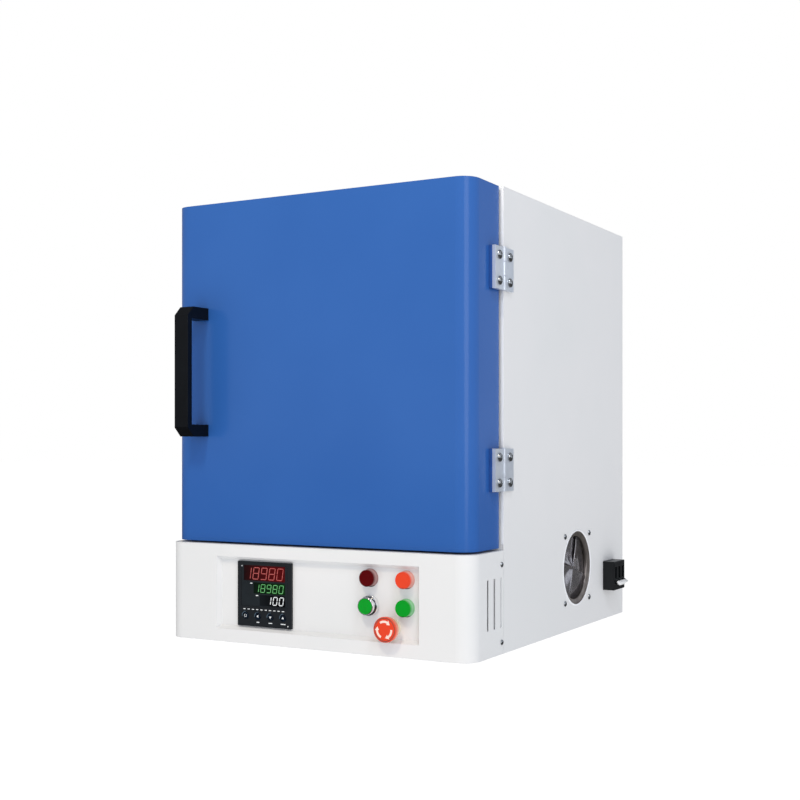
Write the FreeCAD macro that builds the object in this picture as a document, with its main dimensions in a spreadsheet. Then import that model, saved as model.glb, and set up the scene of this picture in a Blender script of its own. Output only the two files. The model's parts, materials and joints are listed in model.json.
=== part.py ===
import FreeCAD, Part
import os
import re
import Sketcher

# A bench muffle furnace: a side-hinged insulated door in front of a ceramic fibre chamber,
# above a base with a stamped control panel, a cooling fan and a panel-mounted breaker.
#
# Sizes are in millimetres. Pieces are drawn from the case's own datum: x from its middle plane,
# y from its front plane towards the back, z from its lower edge. TO_FRAME then carries that datum
# to the middle of the floor that the furnace covers.

SIZES = {
    # Case, base and door, seen from outside
    "case_width": 516, "case_depth": 502, "case_height": 658.5, "case_sheet": 1.5,
    "rear_flange": 16, "fit_gap": 0.3, "hole_play": 0.2,
    "fascia_height": 145.5, "fascia_lead": 8.5, "corner_radius": 25, "tray_height": 26,
    "door_front": 94, "door_rear_gap": 5, "door_inset": 5, "door_rise": 3,
    "door_sheet": 1.5, "door_side_space": 10,
    # Recess stamped in the fascia, and the slots in its sides
    "recess_left": 168, "recess_right": 177.5, "recess_low": 19.5, "recess_high": 127.5,
    "recess_depth": 8, "recess_slope": 5, "recess_relief": 1.5,
    "slot_width": 5, "slot_length": 70, "slot_mid": 73, "slot_spacing": 21.6, "slot_first": 52,
    "slot_count": 3,
    # Front frame and deck
    "frame_flange": 18, "frame_tab": 14, "wiring_side": 200, "wiring_low": 36, "wiring_high": 132,
    "deck_flange": 16, "deck_clearance": 7,
    # Chamber and its insulation
    "chamber_width": 200, "chamber_tall": 200, "chamber_depth": 300, "mouth_lip": 2,
    "side_board": 75, "roof_board": 78, "rear_board": 80, "hearth_thick": 12, "hearth_margin": 3,
    "jacket_sheet": 1.2,
    # Heating coils in their grooves
    "coil_radius": 4, "coil_spacing": 28, "coil_pairs": 3, "coil_front": 40, "coil_rear": 34,
    "groove_depth": 10, "groove_width": 9, "terminal_reach": 30, "bushing_radius": 6,
    # Thermocouple
    "sheath_radius": 3, "sheath_reach": 45, "sheath_drop": 30, "probe_neck_radius": 7,
    "probe_neck": 6, "probe_head_radius": 14, "probe_head_length": 24,
    # Door filling, seal and plug
    "liner_sheet": 1.2, "plug_play": 7, "plug_taper": 5, "plug_depth": 42, "seal_width": 4.4,
    "seal_margin": 24, "seal_corner": 14,
    # Door handle
    "handle_left": 214, "handle_width": 25, "handle_length": 194, "handle_reach": 50,
    "handle_bar": 10, "handle_post": 18, "handle_bevel": 14, "handle_edge": 1,
    # Hinges
    "upper_hinge": 541, "lower_hinge": 259, "hinge_axis_front": 7.3, "hinge_axis_out": 3.5,
    "leaf_length": 60, "leaf_span": 30.5, "leaf_thick": 5, "barrel_radius": 4, "barrel_play": 0.4,
    "pin_radius": 2, "pin_play": 0.05, "pin_head": 1.2, "pin_head_radius": 3,
    "hinge_screw_out": 17.5, "hinge_screw_spacing": 36, "hinge_screw_radius": 2.5,
    "hinge_screw_head": 5.75, "hinge_screw_dome": 3.8, "hinge_screw_grip": 5,
    # Screws of the fascia, fan and rear cover
    "fascia_screw_front": 7, "fascia_screw_low": 17, "fascia_screw_high": 126,
    "small_screw_radius": 2, "small_screw_head": 3.9, "small_screw_dome": 2.4,
    "small_screw_grip": 4, "rear_screw_edge": 9, "rear_screw_low": 40,
    # Cooling fan
    "fan_depth": 284, "fan_high": 97, "fan_size": 120, "fan_thick": 38, "fan_bore": 58,
    "fan_opening": 59.5, "fan_screw_spacing": 105, "fan_strut": 7, "fan_strut_thick": 4,
    "fan_ring": 28, "motor_radius": 24, "motor_front": 27, "motor_length": 26, "shaft_radius": 3,
    "motor_edge": 2, "rotor_radius": 55.5, "rotor_mid": 15, "rotor_hub": 8, "rotor_hub_front": 6,
    "rotor_gap": 1, "shaft_sink": 1, "blade_count": 4, "blade_root": 7, "blade_out": 58,
    "blade_half_angle": 43, "blade_root_angle": 26, "blade_mid_angle": 14, "blade_tip_angle": 10,
    "blade_thick": 1.4, "rotor_turn": 31,
    # Breaker in the right-hand side
    "breaker_from_rear": 73, "breaker_high": 73, "breaker_width": 52.5, "breaker_tall": 84,
    "breaker_body": 44, "nose_width": 51, "nose_tall": 48, "breaker_proud": 20,
    "lever_pivot": 14, "lever_proud": 9, "lever_hub": 5, "lever_bar": 7, "lever_arm": 8,
    "lever_slot": 9, "lever_window": 14.5, "lever_rest": 34, "lever_play": 0.3, "pole_spacing": 17,
    # Temperature controller
    "meter_side": 83, "meter_high": 73.6, "meter_size": 96, "meter_bezel": 4, "meter_cut": 92,
    "meter_case": 91.5, "meter_length": 78, "window_width": 82, "window_tall": 60,
    "window_up": 12, "window_thick": 1, "window_sink": 1.3, "key_radius": 5.3, "key_play": 0.3,
    "key_proud": 0.8, "key_edge": 0.4, "key_depth": 2.6, "key_travel": 0.6,
    "key_spacing": 22.3, "key_down": 32.6,
    "clamp_width": 30, "clamp_tall": 9, "clamp_foot": 3, "clamp_tail": 3, "clamp_length": 52,
    # Lamps, push button and emergency stop, all in the same size of round hole
    "left_control": 96.1, "control_spacing": 58, "upper_control": 107.6, "control_drop": 38.9,
    "stop_side": 131.8, "stop_high": 39.6, "control_hole": 11.25, "control_body": 11,
    "lens_radius": 12.4, "lens_reach": 12, "lens_flange": 12.9, "lens_flange_thick": 1.5,
    "lens_edge": 1.4, "lamp_length": 42, "nut_radius": 15, "nut_thick": 4,
    "button_bezel": 14.5, "bezel_edge": 0.5, "button_bezel_reach": 7,
    "button_cap": 12.3, "button_reach": 16, "button_cap_length": 11.5, "button_travel": 3.5, "button_stem": 4, "stem_play": 0.06,
    "block_side": 25, "block_start": 14, "block_length": 34,
    "stop_collar": 12.5, "stop_collar_reach": 5, "stop_radius": 19.5, "stop_reach": 24,
    "stop_head": 14, "stop_rim": 6, "stop_neck": 11, "stop_travel": 5,
    # Power parts on the tray
    "sink_side": 90, "sink_front": 150, "sink_length": 110, "sink_tall": 100, "sink_base": 6,
    "fin_count": 9, "fin_thick": 2, "fin_reach": 34, "relay_width": 58, "relay_tall": 45,
    "relay_thick": 23, "terminals_side": 30, "terminals_from_rear": 102, "terminals_length": 76,
    "terminals_width": 24, "terminals_tall": 18, "terminal_spacing": 12, "terminal_count": 6,
    "terminal_well": 8.4, "terminal_well_long": 14.4, "terminal_well_deep": 9, "relay_edge": 2,
    # Feet and cable gland
    "foot_height": 6, "foot_radius": 13, "foot_taper": 2, "foot_side": 180, "foot_front": 10,
    "foot_from_rear": 82, "gland_side": 150, "gland_high": 62, "gland_bore": 4.5, "gland_stem": 10,
    "gland_hex": 13, "gland_hex_thick": 6, "gland_dome": 11.5, "gland_taper": 4, "gland_reach": 24,
    "gland_inside": 12, "gland_nut": 14, "gland_nut_thick": 5,
    # Share of a screw head's height that is bevelled, and the fan frame's corners
    "dome_share": 0.7, "fan_corner": 5,
    # Rear vents and the magnet that holds the door
    "vent_width": 130, "vent_tall": 5, "vent_spacing": 14, "vent_count": 8, "vent_low": 230,
    "vent_side": 85, "magnet_side": 232, "magnet_width": 16, "magnet_tall": 46,
}

# Places that several pieces share, as formulas of the sizes
CASE_HALF = "case_width / 2"
INSIDE_HALF = f"({CASE_HALF} - case_sheet - fit_gap)"
FASCIA_FRONT = "(-door_front - fascia_lead)"
PANEL = f"({FASCIA_FRONT} + recess_depth)"
PANEL_BACK = f"({PANEL} + case_sheet)"
REAR_WALL = "(case_depth - case_sheet)"
REAR_INNER = "(case_depth - 2 * case_sheet)"
BREAKER_DEPTH = "(case_depth - breaker_from_rear)"
FRAME_BACK = "(case_sheet + fit_gap)"
DOOR_HALF = f"({CASE_HALF} - door_inset)"
DOOR_LOW = "(fascia_height + door_rise)"
DOOR_MID = f"(({DOOR_LOW} + case_height) / 2)"
DOOR_BACK = "(-door_rear_gap)"
CHAMBER_LOW = f"({DOOR_MID} - chamber_tall / 2)"
CHAMBER_HIGH = f"({DOOR_MID} + chamber_tall / 2)"
CHAMBER_HALF = "(chamber_width / 2)"
BOARD_HALF = f"({CHAMBER_HALF} + side_board)"
HEARTH_LOW = f"({CHAMBER_LOW} - hearth_thick)"
DECK_HIGH = "(fan_high + fan_size / 2 + deck_clearance + deck_flange)"
BOARD_LOW = f"({DECK_HIGH} + jacket_sheet + fit_gap)"
BOARD_HIGH = f"({CHAMBER_HIGH} + roof_board)"
CHAMBER_REAR = f"({FRAME_BACK} + chamber_depth)"
BOARD_REAR = f"({CHAMBER_REAR} + rear_board)"
JACKET_REAR = f"({BOARD_REAR} + fit_gap + jacket_sheet)"
COIL_SIDE = f"({CHAMBER_HALF} + groove_depth - coil_radius - fit_gap)"
COIL_LOW = f"({DOOR_MID} - (coil_pairs - 0.5) * coil_spacing)"
COIL_HIGH = f"({DOOR_MID} + (coil_pairs - 0.5) * coil_spacing)"
COIL_START = f"({FRAME_BACK} + coil_front)"
COIL_END = f"({CHAMBER_REAR} - coil_rear)"
PROBE_HIGH = f"({CHAMBER_HIGH} - sheath_drop)"
HINGE_AXIS = (f"({CASE_HALF} + hinge_axis_out)", "(-hinge_axis_front)")
HINGES = ("lower_hinge", "upper_hinge")
HINGE_SPAN = "(upper_hinge - lower_hinge)"
SMALL_HOLE = "(small_screw_radius + hole_play)"
HINGE_HOLE = "(hinge_screw_radius + hole_play)"

# From the case's datum to the middle of the floor that the furnace covers, handle, gland nut,
# screw heads and breaker lever included
TO_FRAME = {
    "x": "(small_screw_dome - breaker_proud - lever_proud) / 2",
    "y": "(door_front + handle_reach - case_depth - gland_reach) / 2",
    "z": "foot_height",
}

# Middle of each round control on the panel
CONTROLS = {
    "heating": ("left_control", "upper_control"),
    "power": ("left_control + control_spacing", "upper_control"),
    "start": ("left_control", "upper_control - control_drop"),
    "running": ("left_control + control_spacing", "upper_control - control_drop"),
    "stop": ("stop_side", "stop_high"),
}

PLANES = {"XY": "XY_Plane", "XZ": "XZ_Plane", "YZ": "YZ_Plane"}
NEAR = 0.01
SUBPARTS = []

doc = FreeCAD.newDocument("MuffleFurnace")
sheet = doc.addObject("Spreadsheet::Sheet", "Sizes")
for row, (size_name, size) in enumerate(SIZES.items(), start=1):
    sheet.set(f"A{row}", size_name)
    sheet.set(f"B{row}", str(size))
    sheet.setAlias(f"B{row}", size_name)
measure = doc.addObject("App::VarSet", "Measure")
measure.addProperty("App::PropertyFloat", "Number")
doc.recompute()


# Helpers for sketches and features

def formula(text):
    """The text as an expression on the sheet, with the sheet's name before each size."""
    def on_sheet(word):
        return f"Sizes.{word[0]}" if word[0] in SIZES else word[0]
    return re.sub(r"[a-z][a-z_]+", on_sheet, str(text))


def new_body(name):
    body = doc.addObject("PartDesign::Body", name)
    body.AllowCompound = True
    return body


def finish(body, feature):
    """Make a feature the body's last one and build it."""
    body.Tip = feature
    doc.recompute()
    if "Invalid" in feature.State or not feature.Shape.isValid():
        raise RuntimeError(f"{body.Name}: {feature.Name} can't be built")
    return feature


def datum(body, role):
    return next(item for item in body.Origin.OriginFeatures if item.Role == role)


def draw(sketch, outlines):
    """Draw circles, given as (a, b, radius), and polygons, given as lists of (a, b)."""
    for outline in outlines:
        if isinstance(outline, tuple):
            centre_a, centre_b, radius = outline
            start = FreeCAD.Vector(1, 1, 0)
            circle = sketch.addGeometry(Part.Circle(start, FreeCAD.Vector(0, 0, 1), 1), False)
            ring = sketch.addConstraint(Sketcher.Constraint("Radius", circle, 1))
            sketch.setExpression(f"Constraints[{ring}]", formula(radius))
            pin_point(sketch, circle, 3, start, centre_a, centre_b)
        else:
            draw_polygon(sketch, outline)


def draw_polygon(sketch, corners):
    # The corners start on a parabola, so that no side has zero length before the sketch is solved.
    first = sketch.GeometryCount
    count = len(corners)
    starts = [FreeCAD.Vector(number, number ** 2, 0) for number in range(count)]
    for number in range(count):
        side = Part.LineSegment(starts[number], starts[(number + 1) % count])
        sketch.addGeometry(side, False)
    for number, (a, b) in enumerate(corners):
        following = first + (number + 1) % count
        sketch.addConstraint(Sketcher.Constraint("Coincident", first + number, 2, following, 1))
        pin_point(sketch, first + number, 1, starts[number], a, b)


def pin_point(sketch, curve, point, start, a, b):
    for kind, where, text in (("DistanceX", start.x, a), ("DistanceY", start.y, b)):
        number = sketch.addConstraint(Sketcher.Constraint(kind, -1, 1, curve, point, where))
        sketch.setExpression(f"Constraints[{number}]", formula(text))


def new_sketch(body, name, plane, outlines, start="0"):
    """A sketch on one of the body's planes, lifted to start along the plane's own world axis."""
    sketch = body.newObject("Sketcher::SketchObject", name + "_sketch")
    sketch.AttachmentSupport = [(datum(body, PLANES[plane]), "")]
    sketch.MapMode = "FlatFace"
    side = "-1" if plane == "XZ" else "1"
    sketch.setExpression("AttachmentOffset.Base.z", formula(f"{side} * ({start})"))
    draw(sketch, outlines)
    return sketch


def pad(body, name, plane, outlines, start, end):
    """Material between two places on the world axis across the plane."""
    feature = body.newObject("PartDesign::Pad", name)
    feature.Profile = new_sketch(body, name, plane, outlines, start)
    feature.setExpression("Length", formula(f"({end}) - ({start})"))
    feature.Reversed = plane == "XZ"
    return finish(body, feature)


def cut(body, name, plane, outlines, start, end):
    """A pocket between two places on the world axis across the plane."""
    before = body.Tip.Shape.Volume
    feature = body.newObject("PartDesign::Pocket", name)
    feature.Profile = new_sketch(body, name, plane, outlines, start)
    feature.setExpression("Length", formula(f"({end}) - ({start})"))
    feature.Reversed = plane != "XZ"
    finish(body, feature)
    if not feature.Shape.Volume < before - NEAR:
        raise RuntimeError(f"{body.Name}: {name} cuts nothing")
    return feature


def turn(body, name, profile, axis="V_Axis", plane="XY", kind="Revolution"):
    """A full turn of a profile about one axis of its own sketch."""
    feature = body.newObject(f"PartDesign::{kind}", name)
    sketch = new_sketch(body, name, plane, [profile])
    feature.Profile = sketch
    feature.ReferenceAxis = (sketch, [axis])
    feature.Angle = 360
    return finish(body, feature)


def loft(body, name, plane, stations, kind="AdditiveLoft"):
    """A loft through outlines, each given with its place along the world axis."""
    sketches = []
    for number, (outline, start) in enumerate(stations, start=1):
        sketches.append(new_sketch(body, f"{name}_{number}", plane, [outline], start))
    feature = body.newObject(f"PartDesign::{kind}", name)
    feature.Profile = sketches[0]
    feature.Sections = sketches[1:]
    return finish(body, feature)


def repeat(body, name, feature, axis, spacing, count):
    """Copies of a feature in a row along an axis."""
    pattern = body.newObject("PartDesign::LinearPattern", name)
    pattern.Originals = [feature]
    pattern.Direction = (datum(body, axis + "_Axis"), [""])
    pattern.Mode = "Spacing"
    pattern.setExpression("Offset", formula(spacing))
    pattern.setExpression("Occurrences", formula(count))
    return finish(body, pattern)


def picked(kind, items, place):
    names = []
    for number, item in enumerate(items, start=1):
        middle = item.CenterOfMass
        if all(abs(getattr(middle, axis) - value) < NEAR for axis, value in place.items()):
            names.append(f"{kind}{number}")
    return names


def edges_at(feature, **place):
    """The feature's edges whose middle has the given coordinates."""
    return picked("Edge", feature.Shape.Edges, place)


def faces_at(feature, **place):
    """The feature's faces whose middle has the given coordinates."""
    return picked("Face", feature.Shape.Faces, place)


def dress(body, name, kind, names, value):
    """A fillet or chamfer of the named edges of the body's last feature."""
    if not names:
        raise RuntimeError(f"{body.Name}: {name} finds no edge")
    base = body.Tip
    feature = body.newObject(f"PartDesign::{kind}", name)
    feature.Base = (base, names)
    feature.setExpression("Radius" if kind == "Fillet" else "Size", formula(value))
    return finish(body, feature)


def hollow(body, name, open_faces, wall):
    """Turn the body's last feature into a folded sheet, open at the given faces."""
    base = body.Tip
    feature = body.newObject("PartDesign::Thickness", name)
    feature.Base = (base, open_faces)
    feature.setExpression("Value", formula(wall))
    feature.Reversed = True
    return finish(body, feature)


def value(text):
    """The number that a formula of the sizes gives, read back from the document."""
    measure.setExpression("Number", formula(text))
    measure.recompute()
    return measure.Number


def rectangle(low_a, low_b, high_a, high_b):
    return [(low_a, low_b), (high_a, low_b), (high_a, high_b), (low_a, high_b)]


def across(half, low, high):
    """A rectangle that spans from -half to half."""
    return rectangle(f"-{half}", low, half, high)


def around(mid_a, mid_b, width, height):
    """A rectangle about its own middle."""
    return rectangle(f"{mid_a} - ({width}) / 2", f"{mid_b} - ({height}) / 2",
                     f"{mid_a} + ({width}) / 2", f"{mid_b} + ({height}) / 2")


def set_down(thing, x="0", y="0", z="0"):
    """Put a piece's own origin at a place given from the case's datum."""
    for axis, at in zip("xyz", (x, y, z)):
        thing.setExpression(f"Placement.Base.{axis}", formula(at))


def keep(thing, x="0", y="0", z="0"):
    """Put a finished sub-part in its place in the furnace's frame."""
    set_down(thing, *(f"{at} + {TO_FRAME[axis]}" for axis, at in zip("xyz", (x, y, z))))
    SUBPARTS.append(thing)
    return thing


def gather(name, model, spots):
    """Several like solids in their places: a compound of links to one model."""
    links = []
    for number, spot in enumerate(spots, start=1):
        link = doc.addObject("App::Link", f"{name}_{number}")
        link.LinkedObject = model
        set_down(link, *spot)
        links.append(link)
    compound = doc.addObject("Part::Compound", name)
    compound.Links = links
    return compound


def keep_group(name, model, spots):
    """Keep several like solids as one sub-part."""
    return keep(gather(name, model, spots))


def keep_pair(name, right):
    """Keep a piece and its mirror image across the case's middle plane as one sub-part."""
    left = doc.addObject("Part::Mirroring", name + "_mirrored")
    left.Source = right
    left.Normal = FreeCAD.Vector(1, 0, 0)
    compound = doc.addObject("Part::Compound", name)
    compound.Links = [right, left]
    return keep(compound)


# Sheet metal of the case and base

def make_outer_case():
    body = new_body("outer_case")
    pad(body, "block", "XY", [rectangle(f"-{CASE_HALF}", "0", CASE_HALF, REAR_WALL)],
        "0", "case_height")
    hollow(body, "folded_sheet", faces_at(body.Tip, z=0) + faces_at(body.Tip, y=0), "case_sheet")
    cut(body, "rear_window", "XZ",
        [across(f"({CASE_HALF} - rear_flange)", "-rear_flange", "case_height - rear_flange")],
        f"{REAR_INNER} - fit_gap", f"{REAR_WALL} + fit_gap")
    outside = f"{CASE_HALF} + fit_gap"
    inside = f"{CASE_HALF} - case_sheet - fit_gap"
    cut(body, "fan_opening", "YZ", [("fan_depth", "fan_high", "fan_opening")], inside, outside)
    cut(body, "breaker_opening", "YZ",
        [around(BREAKER_DEPTH, "breaker_high", "(nose_width + 2 * fit_gap)",
                "(nose_tall + 2 * fit_gap)")], inside, outside)
    cut(body, "fan_holes", "YZ", fan_hole_circles("fan_depth", "fan_high"), inside, outside)
    cut(body, "hinge_holes", "YZ", hinge_hole_circles("1"), inside, outside)
    cut(body, "rear_holes", "XZ", rear_hole_circles(),
        f"{REAR_INNER} - fit_gap", f"{REAR_WALL} + fit_gap")
    return keep(body)


def hinge_hole_circles(side):
    """Screw holes of both hinges, on the case's side (1) or the door's side (-1) of the axis."""
    circles = []
    for hinge in HINGES:
        for step in ("-", "+"):
            circles.append((f"{side} * hinge_screw_out - hinge_axis_front",
                            f"{hinge} {step} hinge_screw_spacing / 2", HINGE_HOLE))
    return circles


def fan_hole_circles(along, high):
    """The fan's four screw holes about its axis."""
    return [(f"{along} {y} fan_screw_spacing / 2", f"{high} {z} fan_screw_spacing / 2", SMALL_HOLE)
            for y in "-+" for z in "-+"]


def rear_hole_circles():
    half = f"({CASE_HALF} - rear_screw_edge)"
    heights = ("rear_screw_low", "case_height / 2", "case_height - rear_screw_low")
    circles = []
    for at in heights:
        circles.append((f"-{half}", at, SMALL_HOLE))
        circles.append((half, at, SMALL_HOLE))
    return circles


def make_rear_cover():
    body = new_body("rear_cover")
    pad(body, "plate", "XZ", [across(CASE_HALF, "0", "case_height")], REAR_WALL, "case_depth")
    far = "case_depth + fit_gap"
    for name, side in (("left_vent", "-vent_side"), ("right_vent", "vent_side")):
        slot = cut(body, name, "XZ", [around(side, "vent_low", "vent_width", "vent_tall")],
                   f"{REAR_WALL} - fit_gap", far)
        repeat(body, name + "s", slot, "Z", "vent_spacing", "vent_count")
    cut(body, "screw_holes", "XZ", rear_hole_circles(), f"{REAR_WALL} - fit_gap", far)
    cut(body, "gland_hole", "XZ", [("gland_side", "gland_high", "gland_stem + hole_play")],
        f"{REAR_WALL} - fit_gap", far)
    return keep(body)


def make_front_frame():
    body = new_body("front_frame")
    low = "tray_height + fit_gap"
    pad(body, "block", "XZ",
        [across(INSIDE_HALF, low, "case_height - case_sheet - fit_gap")], "0", "frame_flange")
    hollow(body, "folded_sheet", faces_at(body.Tip, y=SIZES["frame_flange"]), "case_sheet")
    mouth = f"({CHAMBER_HALF} + mouth_lip)"
    cut(body, "mouth", "XZ",
        [across(mouth, f"{CHAMBER_LOW} - mouth_lip", f"{CHAMBER_HIGH} + mouth_lip")],
        "-fit_gap", FRAME_BACK)
    cut(body, "wiring_opening", "XZ", [across("wiring_side", "wiring_low", "wiring_high")],
        "-fit_gap", FRAME_BACK)
    tab_low = "wiring_low"
    tab_high = "fascia_height - 2 * case_sheet - fit_gap"
    pad(body, "right_tab", "YZ", [rectangle("-frame_tab", tab_low, "case_sheet", tab_high)],
        f"{INSIDE_HALF} - case_sheet", INSIDE_HALF)
    pad(body, "left_tab", "YZ", [rectangle("-frame_tab", tab_low, "case_sheet", tab_high)],
        f"-{INSIDE_HALF}", f"case_sheet - {INSIDE_HALF}")
    cut(body, "fascia_screw_holes", "YZ",
        [("-fascia_screw_front", "fascia_screw_high", SMALL_HOLE)],
        f"-{CASE_HALF}", CASE_HALF)
    cut(body, "hinge_holes", "YZ", hinge_hole_circles("1"),
        f"{INSIDE_HALF} - case_sheet - fit_gap", f"{INSIDE_HALF} + fit_gap")
    return keep(body)


def make_fascia():
    body = new_body("fascia")
    rear = "-fit_gap"
    pad(body, "block", "XY", [rectangle(f"-{CASE_HALF}", FASCIA_FRONT, CASE_HALF, rear)],
        "0", "fascia_height")
    front = value(FASCIA_FRONT)
    half = value(CASE_HALF)
    corners = edges_at(body.Tip, x=half, y=front) + edges_at(body.Tip, x=-half, y=front)
    dress(body, "corners", "Fillet", corners, "corner_radius")
    open_faces = faces_at(body.Tip, z=0) + faces_at(body.Tip, y=-SIZES["fit_gap"])
    hollow(body, "folded_sheet", open_faces, "case_sheet")
    loft(body, "recess_tub", "XZ",
         [(recess_outline("case_sheet"), f"{FASCIA_FRONT} + case_sheet / 2"),
          (recess_outline("case_sheet - recess_slope"), PANEL_BACK)])
    loft(body, "recess", "XZ",
         [(recess_outline("0"), FASCIA_FRONT), (recess_outline("-recess_slope"), PANEL)],
         kind="SubtractiveLoft")
    cut(body, "meter_opening", "XZ", [around("-meter_side", "meter_high", "meter_cut", "meter_cut")],
        f"{PANEL} - fit_gap", f"{PANEL_BACK} + fit_gap")
    cut(body, "control_holes", "XZ", [(x, z, "control_hole") for x, z in CONTROLS.values()],
        f"{PANEL} - fit_gap", f"{PANEL_BACK} + fit_gap")
    slot = cut(body, "side_slot", "YZ",
               [around("-slot_first", "slot_mid", "slot_width", "slot_length")],
               f"-{CASE_HALF} - fit_gap", f"{CASE_HALF} + fit_gap")
    repeat(body, "side_slots", slot, "Y", "slot_spacing", "slot_count")
    cut(body, "screw_holes", "YZ",
        [("-fascia_screw_front", "fascia_screw_low", SMALL_HOLE),
         ("-fascia_screw_front", "fascia_screw_high", SMALL_HOLE)],
        f"-{CASE_HALF} - fit_gap", f"{CASE_HALF} + fit_gap")
    return keep(body)


def recess_outline(spread):
    """The recess's outline on the fascia, grown outwards by spread."""
    return rectangle(f"-recess_left - ({spread})", f"recess_low - ({spread})",
                     f"recess_right + ({spread})", f"recess_high + ({spread})")


def make_base_tray():
    body = new_body("base_tray")
    front = f"{FASCIA_FRONT} + case_sheet + fit_gap"
    rear = f"{REAR_INNER} - fit_gap"
    pad(body, "block", "XY", [rectangle(f"-{INSIDE_HALF}", front, INSIDE_HALF, rear)],
        "0", "tray_height")
    half = value(INSIDE_HALF)
    corners = (edges_at(body.Tip, x=half, y=value(front))
               + edges_at(body.Tip, x=-half, y=value(front)))
    dress(body, "corners", "Fillet", corners, "corner_radius - case_sheet - fit_gap")
    hollow(body, "folded_sheet", faces_at(body.Tip, z=SIZES["tray_height"]), "case_sheet")
    cut(body, "recess_relief", "XZ",
        [recess_outline("case_sheet + recess_relief")],
        f"{front} - fit_gap", f"{front} + recess_depth")
    cut(body, "fascia_screw_holes", "YZ",
        [("-fascia_screw_front", "fascia_screw_low", SMALL_HOLE)],
        f"-{CASE_HALF}", CASE_HALF)
    return keep(body)


def make_deck():
    body = new_body("deck")
    half = f"({INSIDE_HALF} - case_sheet - fit_gap)"
    pad(body, "block", "XY", [rectangle(f"-{half}", FRAME_BACK, half, f"{REAR_INNER} - fit_gap")],
        f"{DECK_HIGH} - deck_flange", DECK_HIGH)
    hollow(body, "folded_sheet", faces_at(body.Tip, z=value(f"{DECK_HIGH} - deck_flange")),
           "case_sheet")
    return keep(body)


# Chamber: jacket, fibre boards, hearth, coils and thermocouple

def make_inner_shell():
    body = new_body("inner_shell")
    half = f"({BOARD_HALF} + fit_gap + jacket_sheet)"
    pad(body, "block", "XZ",
        [across(half, DECK_HIGH, f"{BOARD_HIGH} + fit_gap + jacket_sheet")],
        FRAME_BACK, JACKET_REAR)
    hollow(body, "folded_sheet", faces_at(body.Tip, y=value(FRAME_BACK)), "jacket_sheet")
    cut(body, "rear_holes", "XZ", rear_lead_circles("bushing_radius"),
        BOARD_REAR, f"{JACKET_REAR} + fit_gap")
    return keep(body)


def rear_lead_circles(coil_hole):
    """Holes for the coils' four terminals and the thermocouple's sheath."""
    circles = [("0", PROBE_HIGH, "sheath_radius + hole_play")]
    for side in (f"-{COIL_SIDE}", COIL_SIDE):
        for at in (COIL_LOW, COIL_HIGH):
            circles.append((side, at, coil_hole))
    return circles


def make_floor_insulation():
    body = new_body("floor_insulation")
    pad(body, "board", "XY", [rectangle(f"-{BOARD_HALF}", FRAME_BACK, BOARD_HALF, BOARD_REAR)],
        BOARD_LOW, HEARTH_LOW)
    return keep(body)


def make_roof_insulation():
    body = new_body("roof_insulation")
    pad(body, "board", "XY", [rectangle(f"-{BOARD_HALF}", FRAME_BACK, BOARD_HALF, BOARD_REAR)],
        CHAMBER_HIGH, BOARD_HIGH)
    return keep(body)


def make_rear_insulation():
    body = new_body("rear_insulation")
    pad(body, "board", "XY", [rectangle(f"-{BOARD_HALF}", CHAMBER_REAR, BOARD_HALF, BOARD_REAR)],
        HEARTH_LOW, CHAMBER_HIGH)
    cut(body, "lead_holes", "XZ", rear_lead_circles("coil_radius + hole_play"),
        f"{CHAMBER_REAR} - fit_gap", f"{BOARD_REAR} + fit_gap")
    return keep(body)


def make_side_insulation():
    body = new_body("side_board")
    pad(body, "board", "XY", [rectangle(CHAMBER_HALF, FRAME_BACK, BOARD_HALF, CHAMBER_REAR)],
        HEARTH_LOW, CHAMBER_HIGH)
    inner = f"{CHAMBER_HALF} - fit_gap"
    deep = f"{CHAMBER_HALF} + groove_depth"
    first = f"{COIL_START} - coil_spacing / 2 - groove_width / 2"
    last = f"{COIL_END} + coil_spacing / 2 + groove_width / 2"
    groove = cut(body, "groove", "YZ",
                 [rectangle(first, f"{COIL_LOW} - groove_width / 2",
                            f"{CHAMBER_REAR} + fit_gap", f"{COIL_LOW} + groove_width / 2")],
                 inner, deep)
    repeat(body, "grooves", groove, "Z", "coil_spacing", "2 * coil_pairs")
    for name, start, end in (("front_channel", first, COIL_START), ("rear_channel", COIL_END, last)):
        cut(body, name, "YZ", [rectangle(start, COIL_LOW, end, COIL_HIGH)], inner, deep)
    return keep_pair("side_insulation", body)


def make_heating_coils():
    body = new_body("heating_coil")
    run = pad(body, "run", "XZ", [coil_section(COIL_LOW)], COIL_START, COIL_END)
    repeat(body, "runs", run, "Z", "coil_spacing", "2 * coil_pairs")
    make_bends(body, "front_bend", COIL_START, COIL_LOW, "coil_pairs", True)
    make_bends(body, "rear_bend", COIL_END, f"{COIL_LOW} + coil_spacing", "coil_pairs - 1", False)
    pad(body, "terminals", "XZ", [coil_section(COIL_LOW), coil_section(COIL_HIGH)],
        COIL_END, f"{JACKET_REAR} + terminal_reach")
    return keep_pair("heating_coils", body)


def coil_section(high):
    """The wound wire's outline, drawn as a bar with six flats."""
    return [(f"{COIL_SIDE} + {a}", f"{high} + {b}") for a, b in hexagon("coil_radius")]


def make_bends(body, name, at, low, count, to_front):
    """Half rings that join neighbouring runs in pairs, from the pair whose lower run is at low."""
    sketch = new_sketch(body, name, "XZ", [coil_section("(-coil_spacing / 2)")], at)
    sketch.setExpression("AttachmentOffset.Base.y", formula(f"{low} + coil_spacing / 2"))
    bend = body.newObject("PartDesign::Revolution", name)
    bend.Profile = sketch
    bend.ReferenceAxis = (sketch, ["H_Axis"])
    bend.Angle = 180
    bend.Reversed = to_front
    finish(body, bend)
    repeat(body, name + "s", bend, "Z", "2 * coil_spacing", count)


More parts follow.
